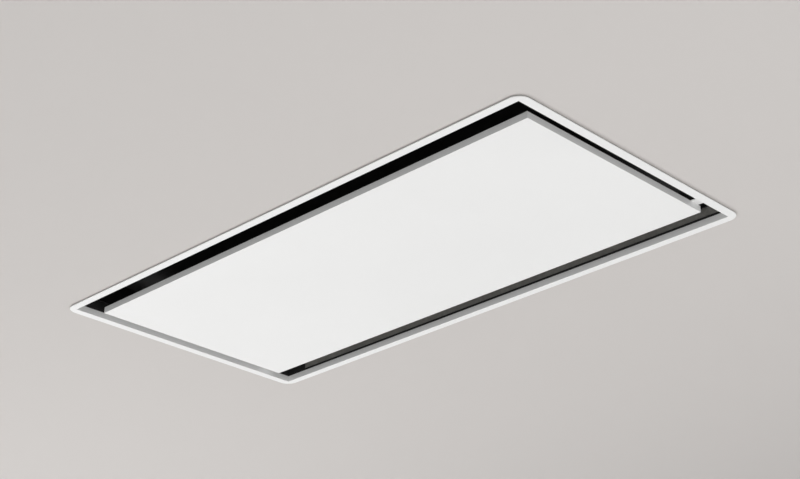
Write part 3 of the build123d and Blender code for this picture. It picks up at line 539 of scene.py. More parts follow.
def merged(*parts: BMesh) -> BMesh:
    """Put several bmeshes in one.

    Args:
        parts: The bmeshes, which are freed.

    Returns:
        One bmesh that holds them all.
    """
    whole = bmesh.new()
    for part in parts:
        mesh = bpy.data.meshes.new("part")
        part.to_mesh(mesh)
        part.free()
        whole.from_mesh(mesh)
        bpy.data.meshes.remove(mesh)
    return whole


def repeated(part: BMesh, places: list[Matrix]) -> BMesh:
    """Copy a bmesh to several places.

    Args:
        part: The bmesh, which is freed.
        places: A matrix for each copy.

    Returns:
        One bmesh that holds every copy.
    """
    mesh = bpy.data.meshes.new("part")
    part.to_mesh(mesh)
    part.free()
    whole = bmesh.new()
    for place in places:
        start = len(whole.verts)
        whole.from_mesh(mesh)
        whole.verts.ensure_lookup_table()
        bmesh.ops.transform(whole, matrix=place, verts=whole.verts[start:])
    bpy.data.meshes.remove(mesh)
    return whole


def block(low: tuple, high: tuple) -> BMesh:
    """Make a box.

    Args:
        low: Its lowest corner.
        high: Its highest corner.

    Returns:
        The new bmesh.
    """
    work = bmesh.new()
    bmesh.ops.create_cube(work, size=1.0)
    bmesh.ops.scale(work, verts=work.verts, vec=Vector(high) - Vector(low))
    return shifted(work, (Vector(high) + Vector(low)) / 2)


def bevelled(work: BMesh, parts: list, width: float, steps: int, kind: str = "EDGES",
             clamp: bool = False) -> BMesh:
    """Round off some edges or corners.

    Args:
        work: The bmesh.
        parts: The edges or corners.
        width: How far each rounding reaches.
        steps: Steps across each rounding.
        kind: EDGES or VERTICES.
        clamp: Whether a rounding stops where it meets the next.

    Returns:
        The same bmesh.
    """
    bmesh.ops.bevel(
        work, geom=parts, offset=width, segments=steps, profile=0.5, affect=kind, material=-1,
        clamp_overlap=clamp)
    return work


def eased(work: BMesh, width: float, steps: int = 2) -> BMesh:
    """Round off every sharp edge of a bmesh."""
    sharp = [edge for edge in work.edges if edge.is_manifold and edge.calc_face_angle() > SHARP_TURN]
    return bevelled(work, sharp, width, steps, clamp=True)


def drawn(work: BMesh, edges: list) -> list[BMVert]:
    """Draw edges out into faces of no width, and give the corners to be moved."""
    parts = bmesh.ops.extrude_edge_only(work, edges=edges)["geom"]
    return [part for part in parts if isinstance(part, BMVert)]


def band(points: list, way: tuple, bend: float = 0.0) -> BMesh:
    """Draw a line of points along a vector into a band of faces.

    Args:
        points: The line's ends and bends.
        way: The vector.
        bend: How far each bend's rounding reaches.

    Returns:
        The new bmesh.
    """
    work = bmesh.new()
    corners = [work.verts.new(point) for point in points]
    for pair in zip(corners, corners[1:]):
        work.edges.new(pair)
    if bend:
        bevelled(work, corners[1:-1], bend, STRIP_BEND_STEPS, "VERTICES")
    bmesh.ops.translate(work, verts=drawn(work, work.edges[:]), vec=way)
    return work


def spun(outline: list[tuple], steps: int = 48) -> BMesh:
    """Spin a closed outline round Z.

    Args:
        outline: Radius and height of each corner, and how far back it is cut where it is eased. A
            radius of 0 closes the shape on its axis.
        steps: Sides round the axis.

    Returns:
        The new bmesh, with its faces outwards.
    """
    work = bmesh.new()
    points = []
    neighbours = zip(outline[-1:] + outline[:-1], outline[1:] + outline[:1])
    # An eased corner gives two points, one towards each of its neighbours.
    for (radius, height, *ease), pair in zip(outline, neighbours):
        for other in pair if ease else pair[:1]:
            out, up = other[0] - radius, other[1] - height
            share = ease[0] / hypot(out, up) if ease else 0.0
            points.append(work.verts.new((radius + out * share, 0.0, height + up * share)))
    rim = [work.edges.new(pair) for pair in zip(points, points[1:] + points[:1])]
    bmesh.ops.spin(
        work, geom=points + rim, cent=(0, 0, 0), axis=(0, 0, 1), angle=2 * pi, steps=steps, use_merge=True)
    bmesh.ops.remove_doubles(work, verts=work.verts, dist=DOUBLE)
    loose = [edge for edge in work.edges if not edge.link_faces]
    bmesh.ops.delete(work, geom=loose, context="EDGES")
    bmesh.ops.recalc_face_normals(work, faces=work.faces)
    return work


def aim(place: tuple, way: tuple) -> Matrix:
    """The matrix that turns Z to a direction and moves the origin to a place."""
    return Matrix.Translation(place) @ Vector(way).to_track_quat("Z", "Y").to_matrix().to_4x4()


def aimed(work: BMesh, place: tuple, way: tuple) -> BMesh:
    """Turn a bmesh's Z axis to a direction and move its origin to a place."""
    bmesh.ops.transform(work, matrix=aim(place, way), verts=work.verts)
    return work


def corner_places(low: Vector, high: Vector, inset: float, height: float) -> list[Matrix]:
    """Find the places at the four corners of a level rectangle.

    Args:
        low: Its lowest corner.
        high: Its highest corner.
        inset: How far inside its edges they are.
        height: Their height.

    Returns:
        A matrix for each corner.
    """
    return [
        Matrix.Translation((x, y, height))
        for x in (low.x + inset, high.x - inset) for y in (low.y + inset, high.y - inset)
    ]


def strip(bends: list[tuple[float, float]], width: float, thickness: float, radius: float) -> BMesh:
    """Bend a strip of sheet. Its section lies in the YZ plane and it runs along X.

    Args:
        bends: Y and Z of each end and bend, on the middle of the sheet.
        width: The strip's width along X, half on each side of the YZ plane.
        thickness: The sheet's thickness.
        radius: How far each bend's rounding reaches.

    Returns:
        The new bmesh.
    """
    work = band([(-width / 2, y, z) for y, z in bends], (width, 0, 0), radius)
    bmesh.ops.recalc_face_normals(work, faces=work.faces)
    bmesh.ops.solidify(work, geom=work.faces[:], thickness=thickness)
    bmesh.ops.recalc_face_normals(work, faces=work.faces)
    return work


def node_copy(node: str) -> BMesh:
    """Copy a CAD node's mesh, with its doubles merged and its flat faces whole.

    Args:
        node: The node's name.

    Returns:
        The new bmesh, in millimetres.
    """
    work = bmesh.new()
    work.from_mesh(frame["nodes"][node].data)
    bmesh.ops.scale(work, verts=work.verts, vec=(1 / MM,) * 3)
    bmesh.ops.remove_doubles(work, verts=work.verts, dist=DOUBLE)
    bmesh.ops.dissolve_limit(
        work, angle_limit=FLAT_TURN, use_dissolve_boundaries=False, verts=work.verts, edges=work.edges)
    return work


def solid_box(solid: list[Vector]) -> tuple[Vector, Vector]:
    """Lowest and highest corners of a set of points."""
    axes = list(zip(*solid))
    return Vector([min(axis) for axis in axes]), Vector([max(axis) for axis in axes])


def solids_of(node: str) -> list[list[Vector]]:
    """Find the separate solids of a CAD node.

    Args:
        node: The node's name.

    Returns:
        The corner points of each solid, in millimetres, in order of its lowest corner.
    """
    work = node_copy(node)
    left = set(work.verts)
    found = []
    while left:
        front = [left.pop()]
        solid = []
        while front:
            corner = front.pop()
            solid.append(corner.co.copy())
            for edge in corner.link_edges:
                other = edge.other_vert(corner)
                if other in left:
                    left.remove(other)
                    front.append(other)
        found.append(solid)
    work.free()
    return sorted(found, key=lambda solid: tuple(round(value, 1) for value in solid_box(solid)[0]))


def fastener_places(node: str) -> list[tuple[Vector, Vector, float]]:
    """Find where each fastener of a CAD node stands. Its head makes it lopsided along its axis.

    Args:
        node: The node's name.

    Returns:
        For each one, the middle of its head's face, the way that the face looks, and its length.
    """
    found = []
    for solid in solids_of(node):
        low, high = solid_box(solid)
        middle = (low + high) / 2
        lean = sum(solid, Vector((0, 0, 0))) / len(solid) - middle
        axis = max(range(3), key=lambda index: abs(lean[index]))
        way = Vector((0, 0, 0))
        way[axis] = 1 if lean[axis] > 0 else -1
        length = (high - low)[axis]
        found.append((middle + way * length / 2, way, length))
    return found


def wire(points: list[tuple], radius: float, bends: list[float]) -> BMesh:
    """Bend a round wire through corner points.

    Args:
        points: The corners that its axis would meet if it had no bends.
        radius: The wire's radius.
        bends: The radius of each bend, one for each corner between the ends.

    Returns:
        The new bmesh.
    """
    curve = bpy.data.curves.new("wire", "CURVE")
    curve.dimensions = "3D"
    curve.bevel_depth = radius
    curve.bevel_resolution = WIRE_GIRTH_STEPS
    curve.use_fill_caps = True
    curve.resolution_u = WIRE_BEND_STEPS
    corners = [Vector(point) for point in points]
    stations = [(corners[0], corners[0], corners[0])]
    for before, corner, after, bend in zip(corners, corners[1:], corners[2:], bends):
        into, out = (before - corner).normalized(), (after - corner).normalized()
        entry, leave = corner + into * bend, corner + out * bend
        stations.append((entry, entry + into, entry - into * ARC_HANDLE * bend))
        stations.append((leave, leave - out * ARC_HANDLE * bend, leave + out))
    stations.append((corners[-1], corners[-1], corners[-1]))
    spline = curve.splines.new("BEZIER")
    spline.bezier_points.add(len(stations) - 1)
    for point, (place, before, after) in zip(spline.bezier_points, stations):
        point.handle_left_type = point.handle_right_type = "FREE"
        point.co, point.handle_left, point.handle_right = place, before, after
    carrier = bpy.data.objects.new("wire", curve)
    mesh = bpy.data.meshes.new_from_object(carrier)
    work = bmesh.new()
    work.from_mesh(mesh)
    bmesh.ops.remove_doubles(work, verts=work.verts, dist=DOUBLE)
    bpy.data.meshes.remove(mesh)
    bpy.data.objects.remove(carrier)
    bpy.data.curves.remove(curve)
    return work


def carved(body: BMesh, cutter: BMesh) -> BMesh:
    """Cut one closed bmesh out of another.

    Args:
        body: What stays, which is freed.
        cutter: What is taken away, which is freed.

    Returns:
        The new bmesh.
    """
    kept, tool = mesh_object("carved", body), mesh_object("cutter", cutter)
    cut = kept.modifiers.new("cut", "BOOLEAN")
    cut.operation, cut.solver, cut.object = "DIFFERENCE", "EXACT", tool
    shaped = kept.evaluated_get(bpy.context.evaluated_depsgraph_get())
    work = bmesh.new()
    work.from_mesh(shaped.to_mesh())
    shaped.to_mesh_clear()
    for piece in (kept, tool):
        data = piece.data
        bpy.data.objects.remove(piece)
        bpy.data.meshes.remove(data)
    return work


def hexagon(across: float, low: float, high: float, bore: float) -> BMesh:
    """A six-sided nut round Z.

    Args:
        across: Its width over the corners.
        low: Its underside.
        high: Its upper side.
        bore: The radius of its hole.

    Returns:
        The new bmesh.
    """
    ease = (high - low) / 8
    outline = [
        (bore, low), (across / 2 - ease, low), (across / 2, low + ease),
        (across / 2, high - ease), (across / 2 - ease, high), (bore, high),
    ]
    return spun(outline, 6)


# ---------------------------------------------------------------- dressing and placing


class Edge(Enum):
    """How an edge was made: how far its rounding reaches, in millimetres, and its steps."""

    CUT = (0.15, 1)
    FOLDED = (0.4, 3)
    MOULDED = (0.55, 2)
    CAST = (0.9, 3)


class Side(Enum):
    """The two ends of the hood, seen from the near long side."""

    LEFT = "left"
    RIGHT = "right"

    def turned(self, work: BMesh) -> BMesh:
        """Mirror what was made for the right in the YZ plane, where this is the left.

        Args:
            work: The bmesh.

        Returns:
            The same bmesh, with its faces still outwards.
        """
        if self is Side.LEFT:
            bmesh.ops.scale(work, verts=work.verts, vec=(-1, 1, 1))
            bmesh.ops.reverse_faces(work, faces=work.faces)
        return work


class Wardrobe:
    """Builds each finish once and dresses pieces with it."""

    def __init__(self, record: dict) -> None:
        """Read each CAD node's slot and body.

        Args:
            record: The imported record.
        """
        self.slots = {row["node"]: row["material_slot"] for row in record["subparts"]}
        groups = record["behaviour"]["bodies"]
        self.bodies = {node: body for body, nodes in groups.items() for node in nodes}
        self.made: dict[str, Material] = {}

    def dress(self, piece: Object, slot: str) -> None:
        """Give a piece one material all over.

        Args:
            piece: The piece.
            slot: The record's material slot.
        """
        if slot not in self.made:
            self.made[slot] = FINISHES[slot].build()
        piece.data.materials.clear()
        piece.data.materials.append(self.made[slot])

    def dress_nodes(self, nodes: dict) -> None:
        """Give every CAD node the finish of its slot."""
        for name, piece in nodes.items():
            self.dress(piece, self.slots[name])


@dataclass
class SubAssembly:
    """What every sub-assembly shares: how its pieces are finished, dressed and put on the frame."""

    wardrobe: Wardrobe

    def place(self, name: str, work: BMesh, *nodes: str, slot: str = "", body: str = "") -> Object:
        """Finish a piece and put it on the frame.

        Args:
            name: The piece's name.
            work: Its bmesh in millimetres, which is freed.
            nodes: The CAD nodes that it stands for.
            slot: Its material slot, where that isn't the first node's.
            body: The body that it rides on, where that isn't the first node's or the fixed one.

        Returns:
            The new piece.
        """
        slot = slot or self.wardrobe.slots[nodes[0]]
        body = body or (self.wardrobe.bodies[nodes[0]] if nodes else "root")
        bmesh.ops.scale(work, verts=work.verts, vec=(MM, MM, MM))
        for face in work.faces:
            face.smooth = True
        for edge in work.edges:
            edge.smooth = edge.is_manifold and edge.calc_face_angle() < SHARP_TURN
        piece = mesh_object(name, work)
        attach(piece, body)
        if nodes:
            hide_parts(*nodes)
        self.wardrobe.dress(piece, slot)
        weigh = piece.modifiers.new("flat faces stay flat", "WEIGHTED_NORMAL")
        weigh.keep_sharp = True
        LOG.info("%s on %s: %s", name, body, FINISHES[slot].name)
        return piece

    def soften(self, edge: Edge, *nodes: str) -> None:
        """Stand a copy with softened edges in the place of each CAD node."""
        for node in nodes:
            self.place(f"{node}_{edge.name.lower()}", eased(node_copy(node), *edge.value), node)


# ---------------------------------------------------------------- fasteners


@dataclass
class Fasteners(SubAssembly):
    """Blind rivets with domed heads and pan-head screws with a cross recess, in millimetres."""

    rivet_radius: float = 2.0
    rivet_head: float = 4.0
    rivet_rise: float = 1.0
    mandrel_radius: float = 1.1
    screw_radius: float = 2.0
    screw_head: float = 3.8
    screw_rise: float = 1.6
    screw_point: float = 0.4
    cross_width: float = 0.9
    cross_reach: float = 2.1
    cross_depth: float = 1.0
    sides: int = 24

    def build(self) -> None:
        """Replace every rivet and screw."""
        for node in ("housing_rivets", "panel_rivets"):
            self.place(f"{node}_domed", self.all_of(node, self.rivet), node)
        self.place("machine_screws_recessed", self.all_of("machine_screws", self.screw), "machine_screws")

    def all_of(self, node: str, make: Callable[[float], BMesh]) -> BMesh:
        """Make a fastener for each one in a CAD node.

        Args:
            node: The node's name.
            make: The method that makes one of a given length.

        Returns:
            One bmesh with all of them.
        """
        by_length: dict[float, list[Matrix]] = {}
        for face, way, length in fastener_places(node):
            by_length.setdefault(round(length, 1), []).append(aim(face, way))
        return merged(*[repeated(make(length), places) for length, places in by_length.items()])

    def rivet(self, length: float) -> BMesh:
        """A rivet below the XY plane, with its head's crown at the origin.

        Args:
            length: From its crown to the end of its shank.

        Returns:
            The new bmesh.
        """
        head, rise, hole = self.rivet_head, self.rivet_rise, self.mandrel_radius
        pit = [(0, -rise * 0.4), (hole, -rise * 0.4)]
        crown = [(hole * 1.2, 0), (head * 0.55, 0), (head * 0.82, -rise * 0.3), (head, -rise)]
        shank = [(self.rivet_radius, -rise), (self.rivet_radius, -length), (0, -length)]
        return spun(pit + crown + shank, self.sides)

    def screw(self, length: float) -> BMesh:
        """A screw below the XY plane, with the middle of its head at the origin.

        Args:
            length: From its head's face to its tip.

        Returns:
            The new bmesh.
        """
        head, rise, shank = self.screw_head, self.screw_rise, self.screw_radius
        crown = [(0, 0), (head * 0.6, 0), (head * 0.85, -rise * 0.22), (head * 0.98, -rise * 0.6)]
        point = [(shank, self.screw_point - length), (shank * 0.7, -length), (0, -length)]
        half = self.cross_width / 2
        cross = block((-half, -half, -self.cross_depth), (half, half, rise))
        for side in [face for face in cross.faces if abs(face.normal.z) < 0.5]:
            way = side.normal * (self.cross_reach - half)
            arm = bmesh.ops.extrude_discrete_faces(cross, faces=[side])["faces"][0]
            bmesh.ops.translate(cross, verts=arm.verts, vec=way)
        return carved(spun(crown + [(head, -rise), (shank, -rise)] + point, self.sides), cross)


# ---------------------------------------------------------------- trim and housing


@dataclass
class TrimFrame(SubAssembly):
    """White flange with its upturned return, and the foam strip that seals it to the ceiling."""

    def build(self) -> None:
        """Soften the folded edges of the trim and the cut edges of its seal."""
        self.soften(Edge.FOLDED, "trim_frame")
        self.soften(Edge.CUT, "ceiling_gasket")


@dataclass
class Housing(SubAssembly):
    """Galvanised box in the ceiling, with pressed swages that stiffen its sheets, in millimetres."""

    swage_width: float = 11.0
    swage_rise: float = 1.6
    swage_margin: float = 42.0
    # Roundings of a swage's ends and of its crown, as shares of half its width and of its rise.
    end_share: float = 0.98
    end_steps: int = 5
    crown_share: float = 0.95
    crown_steps: int = 4
    wall_swages: tuple = (112.0, 186.0, 260.0)
    top_swages: tuple = (-370.0, -215.0, -140.0, 140.0, 215.0, 370.0)
    top_margin: float = 62.0

    def build(self) -> None:
        """Soften the sheets and add their swages."""
        walls = ("housing_back", "housing_front", "housing_left_end", "housing_right_end")
        self.soften(Edge.FOLDED, *walls, "housing_top", "hanger_plates")
        for wall in walls:
            self.place(f"{wall}_swages", self.wall_ridges(wall), slot="galvanised_sheet")
        self.place("housing_top_swages", self.top_ridges(), slot="galvanised_sheet")

    def ridge(self, length: float) -> BMesh:
        """A swage along X on the XY plane, with its middle at the origin and round ends.

        Args:
            length: From end to end.

        Returns:
            The new bmesh, whose lower half is inside the sheet.
        """
        reach = Vector((length, self.swage_width, 2 * self.swage_rise)) / 2
        work = block(-reach, reach)
        upright = [edge for edge in work.edges if edge.verts[0].co.z * edge.verts[1].co.z < 0]
        bevelled(work, upright, self.swage_width / 2 * self.end_share, self.end_steps)
        crown = [edge for edge in work.edges if all(vert.co.z > 0 for vert in edge.verts)]
        return bevelled(work, crown, self.swage_rise * self.crown_share, self.crown_steps, clamp=True)

    def wall_ridges(self, wall: str) -> BMesh:
        """Level swages on the outside of a wall.

        Args:
            wall: The wall's node.

        Returns:
            One bmesh with all of them.
        """
        low, high = box_mm(wall)
        middle = (low + high) / 2
        across = 1 if abs(middle.y) > abs(middle.x) else 0
        way, along = Vector((0, 0, 0)), Vector((0, 0, 0))
        way[across], along[1 - across] = (1 if middle[across] > 0 else -1), 1
        face = way * max(abs(low[across]), abs(high[across]))
        turn = Matrix((along, way.cross(along), way)).transposed().to_4x4()
        places = [Matrix.Translation(face + Vector((0, 0, height))) @ turn for height in self.wall_swages]
        return repeated(self.ridge((high - low)[1 - across] - 2 * self.swage_margin), places)

    def top_ridges(self) -> BMesh:
        """Swages across the top, clear of the outlet, the gland and the hanging holes.

        Returns:
            One bmesh with all of them.
        """
        low, high = box_mm("housing_top")
        quarter = Matrix.Rotation(pi / 2, 4, "Z")
        places = [Matrix.Translation((x, 0, high.z)) @ quarter for x in self.top_swages]
        return repeated(self.ridge(high.y - low.y - 2 * self.top_margin), places)


@dataclass
class Intake(SubAssembly):
    """Black liner walls and the baffle plate above the panel."""

    def build(self) -> None:
        """Soften the folded and cut edges of the black sheets and their angles."""
        self.soften(Edge.FOLDED, "liner_walls", "baffle_angles")
        self.soften(Edge.CUT, "baffle_plate")


# ---------------------------------------------------------------- panel


@dataclass
class PerimeterPanel(SubAssembly):
    """White folded tray that swings down, its stiffeners, damping sheet, strikers and hinges."""

    rim_sheet: float = 1.0
    weld_radius: float = 3.0
    weld_rise: float = 0.3
    weld_sink: float = 0.1
    weld_pitch: float = 62.0
    weld_inset: float = 5.0
    weld_sides: int = 16
    quilt_pitch: float = 20.0
    quilt_rise: float = 0.5
    quilt_groove: float = 1.4
    pin_head: float = 2.0
    pin_ease: float = 0.6
    shank_share: float = 6 / 11
    socket_radius: float = 2.2
    socket_depth: float = 1.2
    pin_sides: int = 32

    def build(self) -> None:
        """Build the panel's pieces."""
        self.soften(Edge.FOLDED, "panel_skin", "panel_stiffeners", "hinge_arm_right", "hinge_arm_left")
        self.soften(Edge.CUT, "panel_strikers")
        self.soften(Edge.CAST, "hinge_brackets")
        self.place("panel_spot_welds", self.spot_welds(), slot="galvanised_sheet", body="panel")
        self.place("panel_pad_embossed", self.embossed_pad(), "panel_pad")
        self.place("hinge_pins_turned", merged(*[self.pin(side) for side in Side]), "hinge_pins")

    def spot_welds(self) -> BMesh:
        """Shallow dimples where the stiffeners' rims are welded to the face.

        Returns:
            One bmesh with all of them.
        """
        radius, rise, sink = self.weld_radius, self.weld_rise, self.weld_sink
        floor = rise * 0.3
        dimple = [(0, -sink), (0, floor), (radius * 0.6, floor), (radius * 0.85, rise), (radius, -sink)]
        places = []
        for solid in solids_of("panel_stiffeners"):
            low, high = solid_box(solid)
            count = int((high.x - low.x - 2 * self.weld_inset) / self.weld_pitch)
            for y in (low.y + self.weld_inset, high.y - self.weld_inset):
                for index in range(-count // 2, count // 2 + 1):
                    places.append(Matrix.Translation((index * self.weld_pitch, y, low.z + self.rim_sheet)))
        return repeated(spun(dimple, self.weld_sides), places)

    def embossed_pad(self) -> BMesh:
        """Bitumen sheet with a square pattern pressed into it.

        Returns:
            The new bmesh.
        """
        low, high = box_mm("panel_pad")
        size = high - low
        across, along = round(size.x / self.quilt_pitch), round(size.y / self.quilt_pitch)
        work = bmesh.new()
        bmesh.ops.create_grid(work, x_segments=across, y_segments=along, size=0.5)
        bmesh.ops.scale(work, verts=work.verts, vec=(size.x, size.y, 1))
        shifted(work, (0, 0, high.z - self.quilt_rise))
        rim = [edge for edge in work.edges if edge.is_boundary]
        bmesh.ops.inset_individual(
            work, faces=work.faces[:], thickness=self.quilt_groove, depth=self.quilt_rise)
        for vert in drawn(work, rim):
            vert.co.z = low.z
        bmesh.ops.contextual_create(work, geom=[edge for edge in work.edges if edge.is_boundary])
        bmesh.ops.recalc_face_normals(work, faces=work.faces)
        return work

    def pin(self, side: Side) -> BMesh:
        """Shoulder pin with a socket in its head.

        Args:
            side: The end of the hood that it is on.

        Returns:
            The new bmesh.
        """
        low, high = solid_box(solids_of("hinge_pins")[1])
        radius, length = (high.y - low.y) / 2, high.x - low.x
        shank = radius * self.shank_share
        outline = [
            (0, self.socket_depth), (self.socket_radius, self.socket_depth), (self.socket_radius, 0),
            (radius, 0, self.pin_ease), (radius, self.pin_head), (shank, self.pin_head), (shank, length),
            (0, length),
        ]
        middle = (low + high) / 2
        return side.turned(aimed(spun(outline, self.pin_sides), (low.x, middle.y, middle.z), (1, 0, 0)))


@dataclass
class TouchCatch(SubAssembly):
    """Push catch: a ribbed post, a plunger with a magnet in its nose and a coil spring."""

    side: Side = Side.RIGHT
    rib_width: float = 3.0
    rib_rise: float = 0.8
    rib_sink: float = 0.2
    rib_ease: float = 0.3
    rib_margin: float = 3.0
    foot: float = 2.0
    nose_ease: float = 0.7
    collar_rise: float = 4.0
    collar_ease: float = 0.4
    plunger_radius: float = 6.0
    magnet_radius: float = 4.0
    magnet_sink: float = 0.25
    magnet_gap: float = 0.1
    magnet_ease: float = 0.3
    wire_radius: float = 0.4
    wire_sides: int = 8
    coil_turns: int = 9
    coil_steps: int = 18
    travel: float = 4.0
    sides: int = 36

    def build(self) -> None:
        """Build one catch."""
        name = f"catch_{self.side.value}"
        self.soften(Edge.MOULDED, f"{name}_body")
        self.place(f"{name}_ribs", self.side.turned(self.ribs()), slot="black_plastic")
        self.place(f"{name}_plunger_turned", self.side.turned(self.plunger()), f"{name}_plunger")
        self.place(
            f"{name}_magnet", self.side.turned(self.magnet()), slot="ground_steel",
            body=f"plunger_{self.side.value}")
        coil = self.place(f"{name}_spring_coil", self.side.turned(self.coil()), f"{name}_spring")
        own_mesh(coil)

    def middle(self) -> Vector:
        """The right catch's axis at the bottom of its plunger."""
        low, high = box_mm("catch_right_plunger")
        return Vector(((low.x + high.x) / 2, (low.y + high.y) / 2, low.z))

    def ribs(self) -> BMesh:
        """A shallow upright rib on each face of the post.

        Returns:
            One bmesh with all of them.
        """
        low, high = box_mm("catch_right_body")
        spot = self.middle()
        half_post, half = (high.y - low.y) / 2, self.rib_width / 2
        rib = block(
            (half_post - self.rib_sink, -half, low.z + self.rib_margin),
            (half_post + self.rib_rise, half, high.z - self.foot - self.rib_margin))
        turns = [Matrix.Rotation(quarter * pi / 2, 4, "Z") for quarter in range(4)]
        places = [Matrix.Translation((spot.x, spot.y, 0)) @ turn for turn in turns]
        return repeated(eased(rib, self.rib_ease), places)

    def plunger(self) -> BMesh:
        """Turned plunger with a socket for the magnet and a collar at its top.

        Returns:
            The new bmesh.
        """
        low, high = box_mm("catch_right_plunger")
        radius, collar, ease = self.plunger_radius, (high.x - low.x) / 2, self.collar_ease
        socket, top = self.magnet_sink * 3, high.z - low.z
        step = top - self.collar_rise
        outline = [
            (0, socket), (self.magnet_radius, socket), (self.magnet_radius, 0), (radius, 0, self.nose_ease),
            (radius, step), (collar, step, ease), (collar, top, ease), (0, top),
        ]
        return aimed(spun(outline, self.sides), self.middle(), (0, 0, 1))

    def magnet(self) -> BMesh:
        """Round magnet just inside the plunger's nose.

        Returns:
            The new bmesh.
        """
        radius, sink = self.magnet_radius - self.magnet_gap, self.magnet_sink
        face = [(0, sink), (radius - self.magnet_ease, sink), (radius, sink * 2)]
        return aimed(spun(face + [(radius, sink * 3), (0, sink * 3)], self.sides), self.middle(), (0, 0, 1))

    def coil(self) -> BMesh:
        """Coil spring between the plunger's collar and the post's roof.

        Returns:
            The new bmesh.
        """
        low, high = box_mm("catch_right_spring")
        spot, radius = self.middle(), self.wire_radius
        work = bmesh.new()
        ring = bmesh.ops.create_circle(
            work, segments=self.wire_sides, radius=radius, cap_ends=False)["verts"]
        bmesh.ops.rotate(work, verts=ring, cent=(0, 0, 0), matrix=Matrix.Rotation(pi / 2, 3, "X"))
        reach = (high.x - low.x) / 2 - radius
        shifted(work, (spot.x + reach, spot.y, low.z + radius))
        steps = self.coil_turns * self.coil_steps
        rise = (high.z - low.z - 2 * radius) / steps
        bmesh.ops.spin(
            work, geom=ring + work.edges[:], cent=spot, axis=(0, 0, 1), dvec=(0, 0, rise),
            angle=2 * pi * self.coil_turns, steps=steps, use_merge=False)
        bmesh.ops.holes_fill(work, edges=[edge for edge in work.edges if edge.is_boundary])
        bmesh.ops.recalc_face_normals(work, faces=work.faces)
        return work


# ---------------------------------------------------------------- grease filters


@dataclass
class GreaseFilter(SubAssembly):
    """Aluminium cassette: a folded channel round layers of expanded metal, with a wire bail."""

    side: Side = Side.RIGHT
    coarse_cell: tuple = (12.0, 6.0)
    fine_cell: tuple = (8.4, 4.2)
    coarse_strand: float = 1.3
    fine_strand: float = 0.8
    strand_overlap: float = 0.2
    foil: float = 0.4
    tilt: float = 0.5
    layers: tuple = (0.0, 0.33, 0.66, 1.0)
    channel_sheet: float = 1.0
    rivet_radius: float = 2.4
    rivet_rise: float = 0.6
    rivet_sink: float = 0.2
    rivet_inset: float = 7.0
    rivet_sides: int = 20
    low_bend: float = 6.0
    pivot_bend: float = 3.0
    pin_length: float = 7.0

    def build(self) -> None:
        """Build one filter."""
        name = f"filter_{self.side.value}"
        self.soften(Edge.FOLDED, f"{name}_frame")
        rivets = self.side.turned(self.corner_rivets())
        self.place(f"{name}_rivets", rivets, slot="filter_aluminium", body=name)
        self.place(f"{name}_mesh_expanded", self.side.turned(self.sheets()), f"{name}_mesh")
        self.place(f"{name}_bail_bent", self.side.turned(self.bail()), f"{name}_bail")

    def sheets(self) -> BMesh:
        """All layers: coarse on the outside and fine between.

        Returns:
            One bmesh with all of them.
        """
        low, high = box_mm("filter_right_mesh")
        span = high.z - low.z - self.foil - 2 * self.tilt
        parts = []
        for share in self.layers:
            outer = share in (0.0, 1.0)
            cell = self.coarse_cell if outer else self.fine_cell
            strand = self.coarse_strand if outer else self.fine_strand
            parts.append(self.expanded(low, high, low.z + self.tilt + share * span, cell, strand))
        return merged(*parts)

    def expanded(self, low: Vector, high: Vector, height: float, cell: tuple, strand: float) -> BMesh:
        """One sheet of expanded metal: zigzag strands that meet at their bends.

        Args:
            low: The lowest corner of the space that the sheets fill.
            high: Its highest corner.
            height: The sheet's underside.
            cell: The long and short way of a mesh.
            strand: The strands' width.

        Returns:
            The new bmesh.
        """
        steps = 2 * round((high.x - low.x) / cell[0])
        rows = round((high.y - low.y) / cell[1])
        step, pitch = (high.x - low.x) / steps, (high.y - low.y) / rows
        swing = (pitch - strand * (1 - self.strand_overlap)) / 2
        sides = [1 if index % 2 else -1 for index in range(steps + 1)]
        bends = [(low.x + index * step, side * swing - strand / 2, side * self.tilt)
                 for index, side in enumerate(sides)]
        work = band(bends, (0, strand, 0))
        bmesh.ops.solidify(work, geom=work.faces[:], thickness=self.foil)
        places = []
        for row in range(rows):
            flip = Matrix.Diagonal((1, -1 if row % 2 else 1, 1, 1))
            places.append(Matrix.Translation((0, low.y + (row + 0.5) * pitch, height)) @ flip)
        sheet = repeated(work, places)
        bmesh.ops.recalc_face_normals(sheet, faces=sheet.faces)
        return sheet

    def corner_rivets(self) -> BMesh:
        """A small rivet under each mitred corner of the channel.

        Returns:
            One bmesh with all of them.
        """
        low, high = box_mm("filter_right_mesh")
        radius, rise, sink = self.rivet_radius, self.rivet_rise, self.rivet_sink
        dome = [(0, sink), (0, -rise), (radius * 0.5, -rise), (radius * 0.85, -rise * 0.6), (radius, sink)]
        inset = self.rivet_inset - self.channel_sheet
        places = corner_places(low, high, inset, low.z - self.channel_sheet)
        return repeated(spun(dome, self.rivet_sides), places)

    def bail(self) -> BMesh:
        """Wire handle whose ends turn in through the lugs.

        Returns:
            The new bmesh.
        """
        low, high = box_mm("filter_right_bail")
        radius, y = (high.y - low.y) / 2, (low.y + high.y) / 2
        left, right = low.x + radius, high.x - radius
        bottom, pivot = low.z + radius, high.z - radius
        path = [
            (left + self.pin_length, y, pivot), (left, y, pivot), (left, y, bottom),
            (right, y, bottom), (right, y, pivot), (right - self.pin_length, y, pivot),
        ]
        return wire(path, radius, [self.pivot_bend, self.low_bend, self.low_bend, self.pivot_bend])


